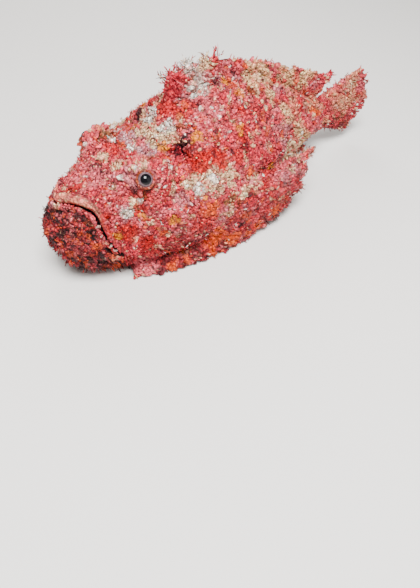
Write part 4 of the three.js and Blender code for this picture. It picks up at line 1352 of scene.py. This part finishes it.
def roots_on(piece, spacing, seed, span=(-99, 999), wanted=None):
    """Places spread over a stretch of a piece, about spacing apart, with their normals and
    unwrap places; wanted gives the share of them to keep"""
    mesh = piece.data
    mesh.calc_loop_triangles()
    corners = read(mesh.loop_triangles, "vertices", 3, int)
    loops = read(mesh.loop_triangles, "loops", 3, int)
    places = read(mesh.vertices, "co", 3) / MM
    normals = vertex_normals(mesh)
    unwrap = read(mesh.uv_layers[0].data, "uv", 2)
    a, b, c = (places[corners[:, k]] for k in range(3))
    area = np.linalg.norm(np.cross(b - a, c - a), axis=-1) / 2
    along = straighten(a)[:, 0]
    area[(along < span[0]) | (along >= span[1])] = 0
    chance = np.random.default_rng(seed)
    count = int(area.sum() / spacing ** 2 * 3)
    pick = chance.choice(len(area), count, p=area / area.sum())
    share = chance.random((count, 2))
    share = np.where(share.sum(1, keepdims=True) > 1, 1 - share, share)
    weights = np.stack([1 - share.sum(1), share[:, 0], share[:, 1]], axis=-1)[..., None]
    at = np.sum(places[corners[pick]] * weights, axis=1)
    facing = unit(np.sum(normals[corners[pick]] * weights, axis=1))
    uv = np.sum(unwrap[loops[pick]] * weights, axis=1)
    cell = np.floor(at / spacing).astype(np.int64)
    _, first = np.unique(cell @ np.array([73856093, 19349663, 83492791]), return_index=True)
    first = np.sort(first)
    at, facing, uv = at[first], facing[first], uv[first]
    keep = at[:, 2] > 1.5
    if "rooted" in mesh.attributes:
        rooted = read(mesh.attributes["rooted"].data, "value", 1)[corners[pick][first], 0]
        keep &= rooted.min(axis=1) > 0
    if wanted is not None:
        keep[keep] = chance.random(keep.sum()) < wanted(straighten(at[keep]), facing[keep])
    return at[keep], facing[keep], uv[keep]


def template(add, **sizes):
    """Corners and triangles of a small form that every tuft of one kind is shaped from"""
    bpy.ops.object.select_all(action="DESELECT")
    add(radius=1, **sizes)
    form = bpy.context.active_object
    mesh = form.data
    put_in_order(mesh)
    mesh.calc_loop_triangles()
    corners = read(mesh.vertices, "co", 3)
    triangles = read(mesh.loop_triangles, "vertices", 3, int)
    bpy.data.objects.remove(form)
    bpy.data.meshes.remove(mesh)
    return corners, triangles


def tuft_axes(facing, yaw, tilt):
    """For each tuft the directions of its length, width and height"""
    back = np.array([1.0, 0, 0.12])
    along = unit(back - facing * (facing @ back)[:, None])
    side = np.cross(facing, along)
    cos, sin = np.cos(yaw)[:, None], np.sin(yaw)[:, None]
    length, width = along * cos + side * sin, side * cos - along * sin
    cos, sin = np.cos(tilt)[:, None], np.sin(tilt)[:, None]
    return length * cos + facing * sin, width, facing * cos - length * sin


# Share of the unwrap that one tuft takes
PATCH = 0.003


class Coat:
    """Tufts gathered into one piece, each with one marking and its own patch of the unwrap"""

    def __init__(self, seed):
        self.corners, self.triangles, self.colours = [], [], []
        self.standing, self.unwrap, self.count = [], [], 0
        self.chance = np.random.default_rng(seed)

    def add(self, local, triangles, origin, axes, colours, uv, standing):
        """local holds each tuft's own corners along its three axes"""
        number, size = local.shape[:2]
        length, width, height = axes
        world = (origin[:, None] + local[..., :1] * length[:, None]
                 + local[..., 1:2] * width[:, None] + local[..., 2:] * height[:, None])
        world[..., 2] = np.maximum(world[..., 2], 0.3)
        offsets = self.count + np.arange(number)[:, None, None] * size
        self.triangles.append((triangles[None] + offsets).reshape(-1, 3))
        self.corners.append(world.reshape(-1, 3))
        mottled = np.exp(0.26 * self.chance.standard_normal((number * size, 1)))
        self.colours.append(np.clip(np.repeat(colours, size, axis=0) * mottled, 0.001, 0.99))
        self.standing.append(np.broadcast_to(standing, (number, size)).reshape(-1))
        reach = np.maximum(np.abs(local[..., :2]).max(axis=(1, 2), keepdims=True), 1e-6)
        patch = uv[:, None] + PATCH / 2 * local[..., :2] / reach
        self.unwrap.append(patch.reshape(-1, 2))
        self.count += number * size

    def knobs(self, roots, form, least, most, flat, colours=None, uneven=0.34, strong=0.0):
        """Round uneven knobs that stand half out of the hide"""
        at, facing, uv = roots
        corners, triangles = form
        chance, number = self.chance, len(at)
        radius = mix(least, most, chance.random(number) ** 2)
        shape = np.stack([radius * mix(0.85, 1.35, chance.random(number)), radius,
                          radius * flat * mix(0.7, 1.2, chance.random(number))], axis=-1)
        lumpy = np.clip(1 + uneven * chance.standard_normal((number, len(corners))), 0.45, 1.6)
        local = corners[None] * lumpy[..., None] * shape[:, None]
        yaw, tilt = TURN * chance.random(number), 0.25 * chance.standard_normal(number)
        axes = tuft_axes(facing, yaw, tilt)
        # painted shade: darker towards the root of each knob
        standing = np.clip(0.1 + 1.2 * corners[:, 2], 0, 1)[None]
        if colours is None:
            colours = fleck_colours(at, chance, strong)
        self.add(local, triangles, at, axes, colours, uv, standing)

    def petals(self, roots, form, least, most, tilt):
        """Thin flakes with ragged rims that overlap towards the tail"""
        at, facing, uv = roots
        corners, triangles = form
        chance, number = self.chance, len(at)
        size = mix(least, most, chance.random(number) ** 1.6)[:, None]
        rim = np.abs(corners[:, 2]) < 0.5
        ragged = np.clip(np.exp(0.4 * chance.standard_normal((number, len(corners)))), 0.35, 2.0)
        ragged = np.where(rim, ragged, 1)
        wave = rim * 0.2 * chance.standard_normal((number, len(corners)))
        cup = rim * mix(-0.1, 0.4, chance.random(number))[:, None]
        local = np.stack([
            (corners[:, 0] * ragged * 1.35 + 0.3) * size,
            corners[:, 1] * ragged * size * mix(0.5, 0.95, chance.random(number))[:, None],
            (corners[:, 2] * 0.16 + wave + cup) * size,
        ], axis=-1)
        colours = fleck_colours(at, chance)
        lift = mix(*tilt, chance.random(number)) * mix(0.6, 1.4, crustiness(colours))
        axes = tuft_axes(facing, 1.0 * chance.standard_normal(number), lift)
        # painted shade: dark underside and root, lighter towards the trailing rim
        standing = np.where(corners[:, 2] < -0.5, 0, mix(0.3, 1, (corners[:, 0] + 1) / 2))[None]
        origin = at + facing * 0.3
        self.add(local, triangles, origin, axes, colours, uv, standing)

    def branch(self, form, origin, axes, length, thick, colours, uv):
        """Tapered stalks that bend a little sideways and upwards"""
        corners, triangles = form
        along = (corners[:, 2] + 1) / 2
        bend = 0.25 * self.chance.standard_normal((len(origin), 1))
        taper = mix(1.0, 0.28, along)
        local = np.stack([
            (along - 0.1)[None] * length[:, None],
            corners[:, 0][None] * taper * thick[:, None] + bend * along ** 2 * length[:, None],
            corners[:, 1][None] * taper * thick[:, None] + 0.25 * along ** 2 * length[:, None],
        ], axis=-1)
        # painted shade: darker towards the root of each stalk
        self.add(local, triangles, origin, axes, colours, uv, mix(0.4, 1, along)[None])

    def tendrils(self, roots, form, least, most, tilt=(0.5, 1.35)):
        """Bent stalks with side branches"""
        at, facing, uv = roots
        chance, number = self.chance, len(at)
        colours = fleck_colours(at, chance)
        length = mix(least, most, chance.random(number) ** 1.3)
        axes = tuft_axes(facing, 0.8 * chance.standard_normal(number),
                         mix(*tilt, chance.random(number)))
        self.branch(form, at, axes, length, 0.09 * length + 0.16, colours, uv)
        for share in (0.3, 0.48, 0.66):
            side = np.where(chance.random(number) < 0.5, -1, 1)
            side = side * mix(0.5, 1.0, chance.random(number))
            lift = 0.5 * chance.standard_normal(number)
            base = at + axes[0] * (share * length)[:, None]
            base = base + axes[2] * (0.25 * share ** 2 * length)[:, None]
            forward = unit(axes[0] + axes[1] * np.tan(side)[:, None] + axes[2] * lift[:, None])
            width = unit(np.cross(axes[2], forward))
            twig = length * mix(0.3, 0.55, chance.random(number))
            self.branch(form, base, (forward, width, np.cross(forward, width)), twig,
                        0.07 * length + 0.14, colours, uv)

    def piece(self, name, material, slot):
        """One mesh of all the tufts gathered so far"""
        mesh = bpy.data.meshes.new(name)
        corners = np.concatenate(self.corners)
        triangles = np.concatenate(self.triangles)
        mesh.vertices.add(len(corners))
        mesh.vertices.foreach_set("co", (corners * MM).ravel())
        mesh.loops.add(triangles.size)
        mesh.loops.foreach_set("vertex_index", triangles.ravel().astype(np.int32))
        mesh.polygons.add(len(triangles))
        mesh.polygons.foreach_set("loop_start", np.arange(0, triangles.size, 3, dtype=np.int32))
        mesh.update(calc_edges=True)
        mesh.shade_smooth()
        uv = np.clip(np.concatenate(self.unwrap)[triangles.ravel()], 0, 1)
        layer = mesh.uv_layers.new(name="OFBake")
        layer.data.foreach_set("uv", uv.astype(np.float32).ravel())
        paint(mesh, np.concatenate(self.colours), np.concatenate(self.standing))
        made = bpy.data.objects.new(name, mesh)
        bpy.context.collection.objects.link(made)
        finish(made, material)


# Tufts that stand out from the marking round them, on the hide and on the jaw: from, to (shares
# of all tufts) and colour
FLECKS = [(0, 0.06, CREAM), (0.06, 0.09, WHITE), (0.09, 0.13, SCARLET), (0.13, 0.15, ORANGE),
          (0.15, 0.22, BLUSH), (0.22, 0.30, MAROON), (0.30, 0.36, ROSE)]
JAW_FLECKS = [(0.3, 0.38, ORANGE), (0.38, 0.42, BLUSH), (0.42, 0.52, RED), (0.52, 0.6, ROSE)]


def fleck_colours(at, chance, strong=0.0):
    """The hide's marking at each tuft, some of them flecked with its other colours, and a
    further share of them cream or dark"""
    straight = straighten(at)
    plain = hide_colours(straight)
    colours = plain * np.exp(0.2 * chance.standard_normal((len(at), 1)))
    jaw = on_jaw(straight)
    vivid = step_between(0.06, 0.02, plain[:, 2] / plain[:, 0])
    lively = mix(0.25, 1, step_between(-0.15, 0.4, noise(straight, 8, 72))) * (1 - 0.88 * vivid)
    lively = np.maximum(lively * mix(0.2, 1, step_between(0.03, 0.15, plain[:, 0])), 0.02)
    draw = chance.random(len(at)) / lively
    light = 0.5 + 0.5 * chance.random(len(at))
    for flecks, share in ((FLECKS, 1 - 0.85 * jaw), (JAW_FLECKS, jaw)):
        for low, high, colour in flecks:
            picked = (draw >= low) & (draw < high)
            colours = blend(colours, colour, picked * light * share)
    draw = chance.random(len(at))
    colours = blend(colours, CREAM, 0.8 * (draw < 0.5 * strong) * (1 - 0.6 * jaw))
    colours = blend(colours, MAROON, 0.8 * (draw > 1 - 0.5 * strong))
    return np.clip(colours, 0.002, 0.98)


def warts(coat, skin, form, low, high):
    """A larger wart on each spot of the markings between two distances along the fish"""
    mesh = skin.data
    places = read(mesh.vertices, "co", 3) / MM
    straight = straighten(places)
    normals = vertex_normals(mesh)
    unwrap = np.zeros((len(places), 2))
    unwrap[read(mesh.loops, "vertex_index", 1, int)[:, 0]] = read(mesh.uv_layers[0].data, "uv", 2)
    for place, (name, (*_, reach, colour)) in zip(PATCH_PLACES, PATCHES.items()):
        if "spot" not in name or not low <= place[0] < high:
            continue
        spots = place * np.array([(1, side, 1) for side in (-1, 1)])
        nearest = [np.argmin(np.linalg.norm(straight - spot, axis=1)) for spot in spots]
        roots = places[nearest], normals[nearest], unwrap[nearest]
        coat.knobs(roots, form, 0.5 * reach, 0.62 * reach, 0.55, np.tile(colour, (2, 1)), 0.05)


# Stretches of the hide, from and to, and the share of full size that their tufts have
REGIONS = [("jaw", -5, 22, 0.6), ("face", 22, 48, 0.64), ("head", 48, 84, 0.7),
           ("gill", 84, 124, 0.78), ("flank", 124, 180, 0.86), ("rear", 180, 292, 1.0)]

# Least and most size of the tufts on the hide
KNOB = 0.5, 1.4
PETAL = 1.0, 2.8
GRAIN = 0.3, 0.7
TENDRIL = 2.0, 5.0
LIP_PETAL = 0.8, 2.0
# Longer tufts in places of their own: spacing, least, most and tilt from the hide
CHIN_TENDRILS = 3.0, 3.5, 7.0, (0.2, 1.0)
BROW_PETALS = 1.5, 2.6, 4.8, (0.9, 1.4)
CREST_TENDRILS = 2.4, 4, 10, (0.7, 1.4)
# Tufts on the fins: spacing, least and most
FIN_KNOBS = 4.2, 0.5, 1.3
FIN_PETALS = 2.4, 1.1, 2.9
FIN_GRAINS = 2.6, 0.3, 0.7
FIN_TENDRILS = 5.0, 2.5, 5.5
COATED_FINS = {
    "dorsal_crest": "dorsal_membrane",
    "caudal_fin_hide": "fin_membrane",
    "anal_fin_hide": "fin_membrane",
    "pectoral_fin_hide_left": "fin_membrane",
    "pectoral_fin_hide_right": "fin_membrane",
    "pelvic_fin_hide_left": "fin_membrane",
    "pelvic_fin_hide_right": "fin_membrane",
}
# Middle of the rim over the eye and how far its upright flakes reach
BROW = (62, 29, 91)
BROW_REACH = 8


class STONEFISH_OT_coat(bpy.types.Operator):
    """The crusty coat: knobs, grains, flakes and branching tendrils set all over the hide"""

    bl_idname = "stonefish.coat"
    bl_label = "Build the coat"

    def execute(self, context):
        sizes = context.scene.stonefish_coat
        knob_gap, grain_gap = sizes.knob_spacing / MM, sizes.grain_spacing / MM
        petal_gap, tendril_gap = sizes.petal_spacing / MM, sizes.tendril_spacing / MM
        material = hide_material("coat_of_tufts", 0.28, 0.25)
        mesh = bpy.ops.mesh
        ball = template(mesh.primitive_uv_sphere_add, segments=5, ring_count=3)
        leaf = template(mesh.primitive_uv_sphere_add, segments=6, ring_count=2)
        bead = template(mesh.primitive_uv_sphere_add, segments=4, ring_count=2)
        stalk = template(mesh.primitive_uv_sphere_add, segments=3, ring_count=3)
        mound = template(mesh.primitive_uv_sphere_add, segments=16, ring_count=9)
        skin = bpy.data.objects["skin"]

        def share(smooth, crusty):
            """The share of places that take a tuft on smooth and on crusty hide"""
            def wanted(points, facing):
                level = crustiness(hide_colours(points))
                return (facing[:, 2] > -0.8) * mix(smooth, crusty, level)
            return wanted

        def on_chin(points, facing):
            """The share of places with long tendrils: the lower jaw's rim and the throat"""
            chin = step_between(34, 20, points[:, 2]) * step_between(75, 60, points[:, 0])
            return 0.7 * chin * (facing[:, 2] > -0.7)

        def on_lip_edge(points, facing):
            """The share of places with flakes on the upper lip: its top edge and its corners"""
            top = step_between(7.6, 9.0, from_mouth(points))
            return np.maximum(0.8 * top, 0.6 * step_between(27, 31, np.abs(points[:, 1])))

        def on_brow(points, facing):
            """The share of places with upright flakes: the rims over the eyes"""
            return 0.9 * bell(np.linalg.norm(folded(points) - BROW, axis=-1), BROW_REACH)

        def on_crest_edge(points, facing):
            """The share of places with long fronds: the top edge of the crest's first lobes"""
            s, _, z = points.T
            top = step_between(10, 16, z - curve(BACK, s))
            return 0.8 * top * step_between(175, 155, s)

        for name, low, high, fine in REGIONS:
            seed = 70 + low
            coat = Coat(seed)
            span = low, high
            coat.knobs(roots_on(skin, knob_gap * fine, seed, span, share(0.1, 0.85)), ball,
                       KNOB[0] * fine, KNOB[1] * fine, 0.7)
            coat.petals(roots_on(skin, petal_gap * fine, seed + 1, span, share(0.95, 0.8)), leaf,
                        PETAL[0] * fine, PETAL[1] * fine, (0.03, 0.5))
            coat.knobs(roots_on(skin, grain_gap * fine, seed + 2, span, share(0.2, 0.9)), bead,
                       *GRAIN, 0.8, strong=0.5)
            coat.tendrils(roots_on(skin, tendril_gap * fine, seed + 3, span, share(0.9, 0.9)),
                          stalk, *TENDRIL)
            spacing, *lengths = CHIN_TENDRILS
            coat.tendrils(roots_on(skin, spacing, seed + 4, span, on_chin), stalk, *lengths)
            spacing, *lengths = BROW_PETALS
            coat.petals(roots_on(skin, spacing, seed + 5, span, on_brow), leaf, *lengths)
            warts(coat, skin, mound, low, high)
            coat.piece(f"coat_{name}", material, "skin")

        for lip, seed, wanted in (("lower_lip", 66, None), ("upper_lip", 67, on_lip_edge)):
            coat = Coat(seed)
            coat.petals(roots_on(bpy.data.objects[lip], 1.5, seed, wanted=wanted), leaf,
                        *LIP_PETAL, (0.1, 0.9))
            coat.piece(f"coat_{lip}", material, "skin")

        for fin, slot in COATED_FINS.items():
            piece = bpy.data.objects[fin]
            coat = Coat(80 + len(fin))
            spacing, *radii = FIN_KNOBS
            coat.knobs(roots_on(piece, spacing, 81, wanted=share(0.2, 0.9)), ball, *radii, 0.7)
            spacing, *lengths = FIN_PETALS
            coat.petals(roots_on(piece, spacing, 82), leaf, *lengths, (0.05, 0.6))
            spacing, *radii = FIN_GRAINS
            coat.knobs(roots_on(piece, spacing, 83, wanted=share(0.5, 0.9)), bead, *radii, 0.8,
                       strong=0.5)
            spacing, *lengths = FIN_TENDRILS
            coat.tendrils(roots_on(piece, spacing, 84), stalk, *lengths)
            if fin == "dorsal_crest":
                spacing, *lengths = CREST_TENDRILS
                coat.tendrils(roots_on(piece, spacing, 85, wanted=on_crest_edge), stalk, *lengths)
            coat.piece(f"coat_{fin}", material, slot)
        return {"FINISHED"}


# The camera's place in metres, and its turns in degrees
CAMERA_PLACE = (-0.2953, -0.28265, 0.30992)
CAMERA_AZIMUTH = -45.704
CAMERA_ELEVATION = 48.037
CAMERA_ROLL = 3.925
CAMERA_LENS = 46.404

# Place and size of each soft light and the point that all are aimed at, in metres
LIGHTS = {
    "key": ((-0.3, -0.35, 0.95), 0.45),
    "fill": ((0.25, -0.9, 0.45), 0.9),
    "rim": ((0.35, 0.65, 0.6), 0.5),
}
LIGHT_AIM = (-0.03, 0, 0.05)
FLOOR_SIZE = 6
SURROUND_COLOUR = (1, 0.98, 0.95, 1)


class STONEFISH_OT_stage(bpy.types.Operator):
    """Pale floor, soft lights and the camera"""

    bl_idname = "stonefish.stage"
    bl_label = "Build the stage"

    def execute(self, context):
        sizes = context.scene.stonefish_stage
        bpy.ops.object.select_all(action="DESELECT")
        bpy.ops.mesh.primitive_plane_add(size=FLOOR_SIZE)
        floor = context.active_object
        floor.name = "studio_floor"
        graph = Graph("floor_paper")
        grain = graph.grain(graph.place(), 0.002)
        pale = tuple(sizes.floor_colour)
        colour = graph.mixed(grain, pale, tuple(0.97 * c for c in pale))
        floor.data.materials.append(graph.set(Base_Color=colour, Roughness=0.85))

        azimuth, elevation = math.radians(CAMERA_AZIMUTH), math.radians(CAMERA_ELEVATION)
        roll = math.radians(CAMERA_ROLL)
        back = Vector((math.sin(azimuth) * math.cos(elevation),
                       -math.cos(azimuth) * math.cos(elevation), math.sin(elevation)))
        right = Vector((math.cos(azimuth), math.sin(azimuth), 0))
        up = back.cross(right)
        turned_right = right * math.cos(roll) + up * math.sin(roll)
        turned_up = up * math.cos(roll) - right * math.sin(roll)
        bpy.ops.object.camera_add(location=CAMERA_PLACE)
        camera = context.active_object
        camera.name = "camera"
        camera.rotation_euler = Matrix((turned_right, turned_up, back)).transposed().to_euler()
        camera.data.sensor_fit = "HORIZONTAL"
        camera.data.sensor_width = 36
        camera.data.lens = CAMERA_LENS
        camera.data.clip_start = 0.01
        context.scene.camera = camera

        for name, (place, size) in LIGHTS.items():
            bpy.ops.object.light_add(type="AREA", location=place)
            light = context.active_object
            light.name = f"{name}_light"
            light.data.size = size
            light.data.energy = getattr(sizes, f"{name}_power")
            aimed = Vector(LIGHT_AIM) - Vector(place)
            light.rotation_euler = aimed.to_track_quat("-Z", "Y").to_euler()

        world = bpy.data.worlds.new("studio_surround")
        world.use_nodes = True
        surround = world.node_tree.nodes["Background"]
        surround.inputs["Color"].default_value = SURROUND_COLOUR
        surround.inputs["Strength"].default_value = sizes.surround
        context.scene.world = world
        return {"FINISHED"}


class STONEFISH_PT_panel(bpy.types.Panel):
    """The stonefish's sizes, colours and building steps"""

    bl_label = "Reef stonefish"
    bl_idname = "STONEFISH_PT_panel"
    bl_space_type = "VIEW_3D"
    bl_region_type = "UI"
    bl_category = "Stonefish"

    def draw(self, context):
        for group, operator in BUILD_ORDER:
            settings = getattr(context.scene, group)
            box = self.layout.box()
            for name in settings.bl_rna.properties.keys():
                if name not in ("rna_type", "name"):
                    box.prop(settings, name)
            box.operator(operator)


SETTINGS = {
    "stonefish_skin": StonefishSkinSettings,
    "stonefish_fins": StonefishFinSettings,
    "stonefish_eyes": StonefishEyeSettings,
    "stonefish_coat": StonefishCoatSettings,
    "stonefish_stage": StonefishStageSettings,
}
BUILD_ORDER = [(group, group.replace("_", ".")) for group in SETTINGS]
CLASSES = [*SETTINGS.values(), STONEFISH_OT_skin, STONEFISH_OT_fins, STONEFISH_OT_eyes,
           STONEFISH_OT_coat, STONEFISH_OT_stage, STONEFISH_PT_panel]


def register():
    """Makes the classes known and hangs their settings on the scene"""
    for cls in CLASSES:
        bpy.utils.register_class(cls)
    for group, cls in SETTINGS.items():
        setattr(bpy.types.Scene, group, bpy.props.PointerProperty(type=cls))


def unregister():
    """Takes the settings and the classes away again"""
    for group in SETTINGS:
        delattr(bpy.types.Scene, group)
    for cls in reversed(CLASSES):
        bpy.utils.unregister_class(cls)


def main():
    """Builds the fish and its stage"""
    register()
    bpy.ops.stonefish.skin()
    bpy.ops.stonefish.fins()
    bpy.ops.stonefish.eyes()
    bpy.ops.stonefish.coat()
    bpy.ops.stonefish.stage()


if __name__ == "__main__":
    main()
